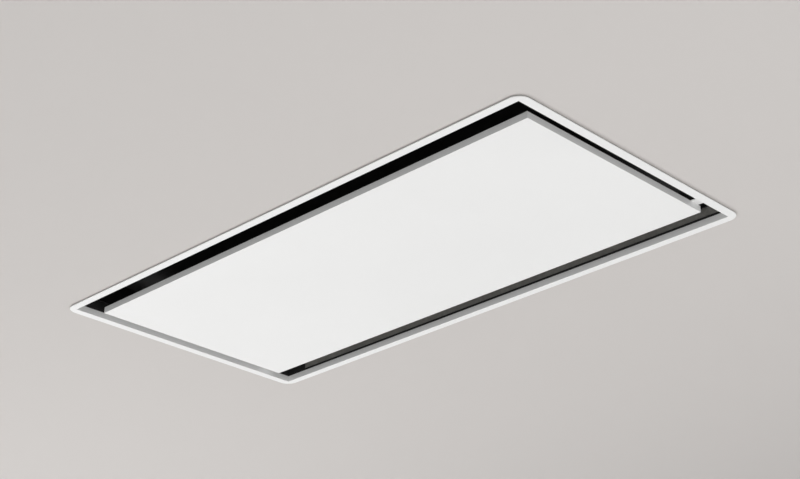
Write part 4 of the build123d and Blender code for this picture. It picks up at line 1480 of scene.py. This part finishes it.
@dataclass
class FilterClips(SubAssembly):
    """Spring leaves that press on the filters' near edges, each bent from one strip."""

    sheet: float = 0.8
    bulge: float = 0.5
    bulge_low: float = 3.0
    bulge_top: float = 6.5
    flare: float = 1.6
    bend: float = 0.9

    def build(self) -> None:
        """Replace the four clips."""
        solids = [solid_box(solid) for solid in solids_of("filter_clips")]
        low, high = solids[0]
        foot, leaf = low.z + self.sheet / 2, high.y - self.sheet / 2
        bends = [
            (low.y, foot), (leaf - self.bulge * 2, foot), (leaf - self.bulge, low.z + self.bulge_low),
            (leaf, low.z + self.bulge_top), (leaf - self.flare, high.z),
        ]
        clip = strip(bends, high.x - low.x, self.sheet, self.bend)
        places = [Matrix.Translation(((one[0].x + one[1].x) / 2, 0, 0)) for one in solids]
        self.place("filter_clips_bent", repeated(clip, places), "filter_clips")


# ---------------------------------------------------------------- blower


@dataclass
class Blower(SubAssembly):
    """Double-inlet scroll, its drum impeller and the motor inside it. The axis runs along X."""

    impeller_radius: float = 64.0
    blade_depth: float = 13.0
    blade_count: int = 36
    blade_thickness: float = 1.2
    blade_margin: float = 0.6
    blade_tilt: float = 30.0
    blade_bulge: float = 1.6
    blade_steps: int = 5
    rim: float = 2.0
    rim_ease: float = 0.5
    hub_radius: float = 14.0
    hub_ease: float = 0.8
    shaft_radius: float = 4.0
    shaft_ease: float = 0.5
    end_ring: float = 4.0
    end_ring_step: float = 3.0
    lamination_margin: float = 2.0
    # The scroll's inside is four quarter circles, each larger than the last by the growth.
    first_radius: float = 69.0
    growth: float = 12.0
    scroll_wall: float = 2.0
    rib_width: float = 2.0
    rib_rise: float = 1.4
    rib_sink: float = 0.5
    rib_ease: float = 0.4
    rib_gap: float = 1.5
    rib_margin: float = 1.0
    rib_shortest: float = 8.0
    rib_step: int = 15
    ring_lip: float = 9.0
    ring_mouth: float = 11.0
    mount_angles: tuple = (30, 150, 270)
    mount_bore: float = 2.0
    mount_ease: float = 0.4
    mount_waist: float = 1.1
    mount_sides: int = 28
    # The nut's width over its corners, its underside, its upper side and its hole's radius.
    nut: tuple = (8.1, 0, 3.2, 1.6)
    clip_angles: tuple = (100, 145, 190, 235, 280, 325)
    # Place along the seam's normal and rise above the scroll of each end and bend of a clip.
    clip_bends: tuple = ((-9.0, 0.4), (-6.0, 1.4), (6.0, 1.4), (9.0, 0.4))
    clip_width: float = 9.0
    clip_sheet: float = 0.7
    clip_bend: float = 1.2
    sides: int = 72

    def build(self) -> None:
        """Build the blower's pieces."""
        self.soften(Edge.MOULDED, "scroll_right", "scroll_left")
        for side in Side:
            self.place(f"scroll_{side.value}_ribs", side.turned(self.side_ribs()), slot="scroll_plastic")
        self.place("scroll_clips", self.rim_clips(), slot="spring_steel")
        rings = [side.turned(self.inlet_ring()) for side in Side]
        self.place("inlet_rings_rolled", merged(*rings), "inlet_rings")
        self.place("impeller_disc_moulded", self.disc(), "impeller_disc")
        self.place("impeller_rims_moulded", self.rims(), "impeller_rims")
        self.place("impeller_blades_curved", self.blades(), "impeller_blades")
        self.place("motor_shaft_turned", self.shaft(), "motor_shaft")
        self.soften(Edge.CAST, "motor_shell")
        self.soften(Edge.CUT, "motor_stator")
        self.soften(Edge.MOULDED, "motor_bearings")
        self.soften(Edge.FOLDED, "motor_spider", "blower_hangers")
        self.place("rubber_mounts_waisted", self.mounts(), "rubber_mounts")
        self.place("spider_nuts", self.nuts(), slot="zinc_plated_steel")

    def axis(self) -> Vector:
        """The middle of the impeller."""
        low, high = box_mm("impeller_disc")
        return (low + high) / 2

    def on_axis(self, work: BMesh, along: float = 0.0) -> BMesh:
        """Lay a shape made round Z on the blower's axis, its origin at a place along it."""
        middle = self.axis()
        return aimed(work, (along, middle.y, middle.z), (1, 0, 0))

    def about(self, angle: float, along: float = 0.0) -> Matrix:
        """The matrix that turns a shape round the blower's axis, from +Y towards +Z, and moves it along."""
        middle = self.axis()
        return Matrix.Translation((along, middle.y, middle.z)) @ Matrix.Rotation(angle, 4, "X")

    def reach(self, angle: float) -> float:
        """How far the scroll's inside is from the axis.

        Args:
            angle: Degrees from +Y towards +Z.

        Returns:
            The distance.
        """
        shift = self.growth / 2
        step = int(angle // 90) % 4
        centre = [(-shift, shift), (-shift, -shift), (shift, -shift), (shift, shift)][step]
        radius = self.first_radius + step * self.growth
        along = cos(radians(angle)) * centre[0] + sin(radians(angle)) * centre[1]
        return along + (along ** 2 - 2 * shift ** 2 + radius ** 2) ** 0.5

    def side_ribs(self) -> BMesh:
        """Ribs on the right side plate, from the inlet to the rim, clear of the motor's mounts.

        Returns:
            One bmesh with all of them.
        """
        inlet, outer = box_mm("inlet_rings")[1].z - self.axis().z, box_mm("scroll_right")[1].x
        half, ribs = self.rib_width / 2, []
        for angle in range(90 + self.rib_step, 360, self.rib_step):
            end = self.reach(angle) + self.scroll_wall - self.rib_margin
            clear = min(abs(angle - mount) for mount in self.mount_angles) >= self.rib_step
            if clear and end - inlet >= self.rib_shortest:
                low = (outer - self.rib_sink, inlet + self.rib_gap, -half)
                rib = eased(block(low, (outer + self.rib_rise, end, half)), self.rib_ease)
                ribs.append(repeated(rib, [self.about(radians(angle))]))
        return merged(*ribs)

    def rim_clips(self) -> BMesh:
        """Spring clips that hold the two halves together along their seam.

        Returns:
            One bmesh with all of them.
        """
        quarter = Matrix.Rotation(pi / 2, 4, "Z")
        clips = []
        for angle in self.clip_angles:
            base = self.reach(angle) + self.scroll_wall
            bends = [(across, base + rise) for across, rise in self.clip_bends]
            clip = strip(bends, self.clip_width, self.clip_sheet, self.clip_bend)
            clips.append(repeated(clip, [self.about(radians(angle - 90)) @ quarter]))
        return merged(*clips)

    def inlet_ring(self) -> BMesh:
        """Bell-mouthed ring in the right inlet.

        Returns:
            The new bmesh.
        """
        low, high = solid_box(solids_of("inlet_rings")[1])
        outer, depth = (high.y - low.y) / 2, high.x - low.x
        lip, mouth = outer - self.ring_lip, outer - self.ring_mouth
        outline = [
            (lip, 0), (mouth + 0.6, 0.2), (mouth, 1.4), (mouth, depth - 3.0), (mouth + 0.9, depth - 1.0),
            (mouth + 2.8, depth), (outer - 1.2, depth), (outer, depth - 0.7), (outer, depth - 2.0),
            (lip, depth - 2.0),
        ]
        return self.on_axis(spun(outline, self.sides), low.x)

    def disc(self) -> BMesh:
        """Centre disc with a filleted hub on both sides.

        Returns:
            The new bmesh.
        """
        low, high = box_mm("impeller_disc")
        half, web, hub = (high.x - low.x) / 2, self.rim / 2, self.hub_radius
        upper = [
            (self.impeller_radius, web), (hub + 3.5, web), (hub + 1.0, web + 0.9), (hub, web + 3.0),
            (hub, half, self.hub_ease), (self.shaft_radius, half),
        ]
        lower = [(radius, -height, *ease) for radius, height, *ease in reversed(upper)]
        return self.on_axis(spun(upper + lower, self.sides))

    def rims(self) -> BMesh:
        """Rounded ring round each end of the drum.

        Returns:
            One bmesh with both.
        """
        inner, outer, ease = self.impeller_radius - self.blade_depth, self.impeller_radius, self.rim_ease
        outline = [(inner, 0, ease), (outer, 0, ease), (outer, self.rim, ease), (inner, self.rim, ease)]
        low, high = box_mm("impeller_rims")
        return merged(*[self.on_axis(spun(outline, self.sides), x) for x in (low.x, high.x - self.rim)])

    def blades(self) -> BMesh:
        """Blades that curve forwards, in two rows that stand half a step apart.

        Returns:
            One bmesh with all of them.
        """
        low, high = box_mm("impeller_blades")
        web, tilt = self.rim / 2, radians(self.blade_tilt)
        chord = Vector((0, cos(tilt), sin(tilt))) * (self.blade_depth / 2 - self.blade_margin)
        side = Vector((0, sin(tilt), -cos(tilt)))
        start = Vector((web, self.impeller_radius - self.blade_depth / 2, 0))
        points = []
        for index in range(self.blade_steps + 1):
            share = 2 * index / self.blade_steps - 1
            bulge = self.blade_bulge * (1 - share ** 2) - self.blade_bulge / 2
            points.append(start + chord * share + side * bulge)
        work = band(points, (high.x - web, 0, 0))
        bmesh.ops.solidify(work, geom=work.faces[:], thickness=self.blade_thickness)
        bmesh.ops.recalc_face_normals(work, faces=work.faces)
        step = 2 * pi / self.blade_count
        turns = [(index + row / 2, row) for row in range(2) for index in range(self.blade_count)]
        return repeated(work, [self.about(turn * step, row * (low.x - web)) for turn, row in turns])

    def shaft(self) -> BMesh:
        """Shaft with the rotor's laminations and the cast ring at each end of them.

        Returns:
            The new bmesh.
        """
        low, high = box_mm("motor_shaft")
        stator_low, stator_high = box_mm("motor_stator")
        start, end = stator_low.x + self.lamination_margin, stator_high.x - self.lamination_margin
        rotor, radius, ease = (high.z - low.z) / 2, self.shaft_radius, self.shaft_ease
        ring, near, far = rotor - self.end_ring_step, start - self.end_ring, end + self.end_ring
        outline = [
            (0, low.x), (radius, low.x, ease), (radius, near), (ring, near, ease), (ring, start),
            (rotor, start), (rotor, end), (ring, end), (ring, far, ease), (radius, far),
            (radius, high.x, ease), (0, high.x),
        ]
        return self.on_axis(spun(outline))

    def mounts(self) -> BMesh:
        """Rubber posts with a waist, between the spider and the scroll.

        Returns:
            One bmesh with all of them.
        """
        solids = [solid_box(solid) for solid in solids_of("rubber_mounts")]
        low, high = solids[0]
        radius, length, bore, ease = (high.y - low.y) / 2, high.x - low.x, self.mount_bore, self.mount_ease
        waist = radius - self.mount_waist
        outline = [
            (bore, 0), (radius, 0, ease), (radius, length * 0.22), (waist, length * 0.36),
            (waist, length * 0.64), (radius, length * 0.78), (radius, length, ease), (bore, length),
        ]
        places = [aim((one[0].x, *((one[0] + one[1]) / 2).yz), (1, 0, 0)) for one in solids]
        return repeated(spun(outline, self.mount_sides), places)

    def nuts(self) -> BMesh:
        """A nut on each of the spider's arms.

        Returns:
            One bmesh with all of them.
        """
        spider = box_mm("motor_spider")[0].x
        middles = [sum(solid_box(solid), Vector((0, 0, 0))) / 2 for solid in solids_of("rubber_mounts")]
        return repeated(hexagon(*self.nut), [aim((spider, *spot.yz), (-1, 0, 0)) for spot in middles])


# ---------------------------------------------------------------- outlet


@dataclass
class Outlet(SubAssembly):
    """Adapter, round collar with a rolled bead, and the two damper flaps."""

    bead_from_top: float = 8.0
    bead_rise: float = 1.4
    # Height from the bead's middle and share of its rise, for each point of its section.
    bead_section: tuple = ((-3.2, 0.0), (-1.6, 0.7), (0.0, 1.0), (1.6, 0.7), (3.2, 0.0))
    collar_sides: int = 96
    flange: float = 12.0
    flange_sheet: float = 1.5
    wall: float = 1.2
    ease: float = 0.4
    fillet: float = 1.0
    rib_places: tuple = (-38.0, 0.0, 38.0)
    rib_near: float = 11.0
    rib_width: float = 1.4
    rib_drop: float = 1.4
    rib_sink: float = 0.3
    rib_ease: float = 0.35
    rib_margin: float = 4.0
    flap_half: float = 0.6

    def build(self) -> None:
        """Build the outlet's pieces."""
        self.soften(Edge.CUT, "outlet_adapter", "damper_rod")
        self.place("outlet_collar_rolled", self.collar(), "outlet_collar")
        self.soften(Edge.MOULDED, "damper_flap_front", "damper_flap_back")
        for name, way in (("front", -1), ("back", 1)):
            ribs = self.ribs(f"damper_flap_{name}", way)
            self.place(f"damper_ribs_{name}", ribs, slot="damper_plastic", body=f"flap_{name}")

    def collar(self) -> BMesh:
        """Flanged spigot, rolled outwards in a bead that the duct's clamp sits behind.

        Returns:
            The new bmesh.
        """
        low, high = box_mm("outlet_collar")
        edge, ease, fillet = (high.x - low.x) / 2, self.ease, self.fillet
        outer = edge - self.flange
        inner = outer - self.wall
        foot, deck, top = low.z, low.z + self.flange_sheet, high.z
        middle = top - self.bead_from_top
        bead = [(self.bead_rise * share, middle + rise) for rise, share in self.bead_section]
        outside = [
            (edge, foot, ease), (edge, deck, ease), (outer + fillet, deck),
            (outer + fillet * 0.3, deck + fillet * 0.3), (outer, deck + fillet),
            *[(outer + bulge, height) for bulge, height in bead], (outer, top - ease), (outer - 0.3, top),
        ]
        inside = [
            (inner + 0.3, top), (inner, top - ease),
            *[(inner + bulge, height) for bulge, height in reversed(bead)], (inner, foot),
        ]
        return spun(outside + inside, self.collar_sides)

    def ribs(self, flap: str, way: int) -> BMesh:
        """Thin ribs under a flap.

        Args:
            flap: The flap's node.
            way: Its side of the rod, -1 or 1.

        Returns:
            One bmesh with all of them.
        """
        low, high = box_mm(flap)
        under = (low.z + high.z) / 2 - self.flap_half
        radius, half = (high.x - low.x) / 2, self.rib_width / 2
        ribs = []
        for x in self.rib_places:
            far = (radius ** 2 - x ** 2) ** 0.5 - self.rib_margin
            near, far = sorted((way * self.rib_near, way * far))
            rib = block((x - half, near, under - self.rib_drop), (x + half, far, under + self.rib_sink))
            ribs.append(eased(rib, self.rib_ease))
        return merged(*ribs)


# ---------------------------------------------------------------- electrical parts


class Component(Enum):
    """What stands on the circuit board: its slot and its length, width and height in millimetres."""

    RELAY = ("black_plastic", 19.0, 15.5, 15.0)
    TRANSFORMER = ("laminated_steel", 34.0, 28.0, 25.0)
    PLUG_HOUSING = ("terminal_plastic", 22.0, 8.0, 10.0)
    CHIP = ("black_plastic", 18.0, 7.0, 3.2)
    FILM_CAPACITOR = ("terminal_plastic", 18.0, 8.0, 14.0)

    @property
    def slot(self) -> str:
        """Its material slot."""
        return self.value[0]

    @property
    def size(self) -> Vector:
        """Its length, width and height."""
        return Vector(self.value[1:])


@dataclass
class Electrics(SubAssembly):
    """Control box with its board, the cable gland and the motor's capacitor, in millimetres."""

    # Component and its middle, from the board's corner with the lowest X and Y.
    layout: tuple = (
        (Component.TRANSFORMER, 32.0, 84.0),
        (Component.RELAY, 66.0, 92.0),
        (Component.RELAY, 88.0, 92.0),
        (Component.RELAY, 110.0, 92.0),
        (Component.PLUG_HOUSING, 66.0, 74.0),
        (Component.PLUG_HOUSING, 94.0, 74.0),
        (Component.CHIP, 20.0, 30.0),
        (Component.FILM_CAPACITOR, 60.0, 24.0),
    )
    part_ease: float = 0.6
    can_places: tuple = ((118.0, 60.0), (118.0, 40.0))
    can_radius: float = 6.0
    can_height: float = 20.0
    can_sides: int = 28
    terminal_ways: int = 5
    terminal_inset: float = 4.5
    # Outlines of the screws, and the corners of the blocks that cut their slots.
    terminal_screw: tuple = ((0, 0.6), (0, -1.2), (2.6, -1.2, 0.3), (2.6, 0.6))
    terminal_cut: tuple = ((-3.6, -0.4, -2.0), (3.6, 0.4, -0.6))
    lid_inset: float = 8.0
    lid_screw: tuple = (
        (0, 1.0), (0, -1.5), (2.4, -1.5), (3.3, -1.0), (3.6, 0), (3.6, 0.2), (1.8, 0.2), (1.8, 1.0))
    lid_cut: tuple = ((-5, -0.45, -3), (5, 0.45, -0.7))
    screw_sides: int = 24
    tab_ease: float = 0.2
    tab_sheet: float = 1.2
    tab_gap: float = 0.05
    box_wall: float = 1.3
    box_sheet: float = 1.2
    gland_ridges: int = 6
    stem_inset: float = 4.4
    thread_rise: float = 0.4
    bore_share: float = 0.375
    nut_rise: float = 3.6
    head_rise: float = 5.2
    gland_sides: int = 36
    cap_inset: float = 1.5
    # Lowest and highest corners of the capacitor's flat terminals, from its foot, and where they stand.
    terminal_tab: tuple = ((-0.4, -3.15, 0.0), (0.4, 3.15, 2.2))
    terminal_tab_ease: float = 0.15
    terminal_tab_places: tuple = (-5.0, 5.0)
    groove_from_foot: float = 8.0
    groove_depth: float = 0.9
    mouth_from_foot: float = 2.8
    mouth_lip: float = 1.4

    def build(self) -> None:
        """Build the electrical pieces."""
        self.soften(Edge.FOLDED, "control_box")
        self.soften(Edge.CUT, "control_lid", "control_board")
        self.soften(Edge.MOULDED, "terminal_block")
        for slot in sorted({kind.slot for kind, _, _ in self.layout}):
            self.place(f"board_parts_{slot}", self.components(slot), slot=slot)
        self.place("board_cans", self.cans(), slot="capacitor_can")
        self.place("terminal_screws", self.terminal_screws(), slot="zinc_plated_steel")
        self.place("lid_screws", self.lid_screws(), slot="zinc_plated_steel")
        self.place("lid_tabs", self.lid_tabs(), slot="galvanised_sheet")
        self.place("cable_gland_threaded", self.gland(), "cable_gland")
        self.place("gland_seal", self.gland_seal(), slot="mount_rubber")
        self.place("motor_capacitor_can", self.capacitor(), "motor_capacitor")
        self.place("motor_capacitor_cap", self.capacitor_cap(), slot="black_plastic")

    def components(self, slot: str) -> BMesh:
        """Boxed components of one slot, under the board.

        Args:
            slot: The slot's name.

        Returns:
            One bmesh with all of them.
        """
        corner = box_mm("control_board")[0]
        parts = []
        for kind, x, y in self.layout:
            if kind.slot == slot:
                half = kind.size / 2
                middle = corner + Vector((x, y, -half.z))
                parts.append(eased(block(middle - half, middle + half), self.part_ease))
        return merged(*parts)

    def cans(self) -> BMesh:
        """Two small electrolytic cans under the board, each with a rolled groove.

        Returns:
            One bmesh with both.
        """
        corner = box_mm("control_board")[0]
        radius, height = self.can_radius, self.can_height
        outline = [
            (0, 0), (radius - 0.3, 0), (radius, 0.4), (radius, 2.0), (radius - 0.5, 2.6), (radius, 3.2),
            (radius, height, 0.8), (0, height),
        ]
        places = [aim(corner + Vector((x, y, 0)), (0, 0, -1)) for x, y in self.can_places]
        return repeated(spun(outline, self.can_sides), places)

    def terminal_screws(self) -> BMesh:
        """A screw over each way of the terminal block, on both sides.

        Returns:
            One bmesh with all of them.
        """
        low, high = box_mm("terminal_block")
        pitch, inset = (high.x - low.x) / self.terminal_ways, self.terminal_inset
        places = [
            Matrix.Translation((low.x + (way + 0.5) * pitch, y, low.z))
            for way in range(self.terminal_ways) for y in (low.y + inset, high.y - inset)
        ]
        screw = spun(list(self.terminal_screw), self.screw_sides)
        return repeated(carved(screw, block(*self.terminal_cut)), places)

    def lid_screws(self) -> BMesh:
        """A slotted screw in each corner of the lid.

        Returns:
            One bmesh with all of them.
        """
        low, high = box_mm("control_lid")
        screw = carved(spun(list(self.lid_screw), self.screw_sides), block(*self.lid_cut))
        return repeated(screw, corner_places(low, high, self.lid_inset, low.z))

    def lid_tabs(self) -> BMesh:
        """A tab in each corner of the box, for the lid's screws.

        Returns:
            One bmesh with all of them.
        """
        low, high = box_mm("control_box")
        half = self.lid_inset - 1.0
        tab = eased(block((-half, -half, self.tab_gap), (half, half, self.tab_sheet)), self.tab_ease, 1)
        return repeated(tab, corner_places(low, high, self.box_wall + half, low.z))

    def gland(self) -> BMesh:
        """Gland with a threaded stem, a lock nut inside the box, a hexagon and a domed cap.

        Returns:
            The new bmesh.
        """
        low, high = box_mm("cable_gland")
        spot, deck = (low + high) / 2, box_mm("housing_top")[1].z
        width = (high.x - low.x) / 2
        stem, bore = width - self.stem_inset, width * self.bore_share
        pitch = (deck - low.z) / self.gland_ridges
        outline = [(bore, low.z), (stem, low.z)]
        for ridge in range(self.gland_ridges):
            base = low.z + ridge * pitch
            outline += [
                (stem, base + pitch * 0.25), (stem + self.thread_rise, base + pitch * 0.5),
                (stem, base + pitch * 0.75)]
        outline += [
            (stem, deck + 5.0), (width - 2.4, deck + 5.0), (width - 2.4, deck + 7.5),
            (width - 3.2, deck + 10.0), (width - 5.0, high.z - 0.5), (bore + 1.6, high.z),
            (bore, high.z - 0.6),
        ]
        under, hole = box_mm("control_box")[1].z - self.box_sheet, stem - self.thread_rise
        head = hexagon(2 * width, deck, deck + self.head_rise, hole)
        nut = hexagon(2 * width - 1.0, under - self.nut_rise, under, hole)
        return shifted(merged(spun(outline, self.gland_sides), head, nut), (spot.x, spot.y, 0))

    def gland_seal(self) -> BMesh:
        """Rubber ring just inside the gland's mouth.

        Returns:
            The new bmesh.
        """
        low, high = box_mm("cable_gland")
        bore, top = (high.x - low.x) / 2 * self.bore_share, high.z
        outline = [
            (bore - 0.9, top - 6), (bore + 0.2, top - 6), (bore + 0.2, top - 1.0), (bore - 0.5, top - 0.8),
            (bore - 0.9, top - 1.6),
        ]
        return shifted(spun(outline, self.gland_sides), ((low.x + high.x) / 2, (low.y + high.y) / 2, 0))

    def capacitor(self) -> BMesh:
        """Drawn can with a rolled groove near its open end.

        Returns:
            The new bmesh.
        """
        low, high = box_mm("motor_capacitor")
        spot, radius = (low + high) / 2, (high.x - low.x) / 2
        groove, mouth = low.z + self.groove_from_foot, low.z + self.mouth_from_foot
        waist, lip, seat = radius - self.groove_depth, radius - self.mouth_lip, mouth + self.mouth_lip
        outline = [
            (0, high.z), (radius, high.z, 1.0), (radius, groove + 1.6), (waist, groove + 0.6),
            (waist, groove - 0.6), (radius, groove - 1.6), (radius, mouth, 0.6), (lip, mouth),
            (lip, seat), (0, seat),
        ]
        return shifted(spun(outline), (spot.x, spot.y, 0))

    def capacitor_cap(self) -> BMesh:
        """Insulating cap with two flat terminals.

        Returns:
            The new bmesh.
        """
        low, high = box_mm("motor_capacitor")
        spot, radius = (low + high) / 2, (high.x - low.x) / 2 - self.cap_inset
        cap = spun([(0, 4.0), (0, 2.0), (radius, 2.0, 0.5), (radius, 4.0)])
        tab = eased(block(*self.terminal_tab), self.terminal_tab_ease, 1)
        tabs = repeated(tab, [Matrix.Translation((x, 0, 0)) for x in self.terminal_tab_places])
        return shifted(merged(cap, tabs), (spot.x, spot.y, low.z))


# ---------------------------------------------------------------- main


def main() -> None:
    """Build the studio and every sub-assembly in order."""
    logging.basicConfig(level=logging.INFO, format="%(message)s")
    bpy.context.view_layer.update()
    Studio().build()
    wardrobe = Wardrobe(frame["record"])
    wardrobe.dress_nodes(frame["nodes"])
    for part in (TrimFrame, Housing, Intake, PerimeterPanel):
        part(wardrobe).build()
    for side in Side:
        TouchCatch(wardrobe, side).build()
        GreaseFilter(wardrobe, side).build()
    for part in (FilterClips, Blower, Outlet, Electrics, Fasteners):
        part(wardrobe).build()


if __name__ == "__main__":
    main()
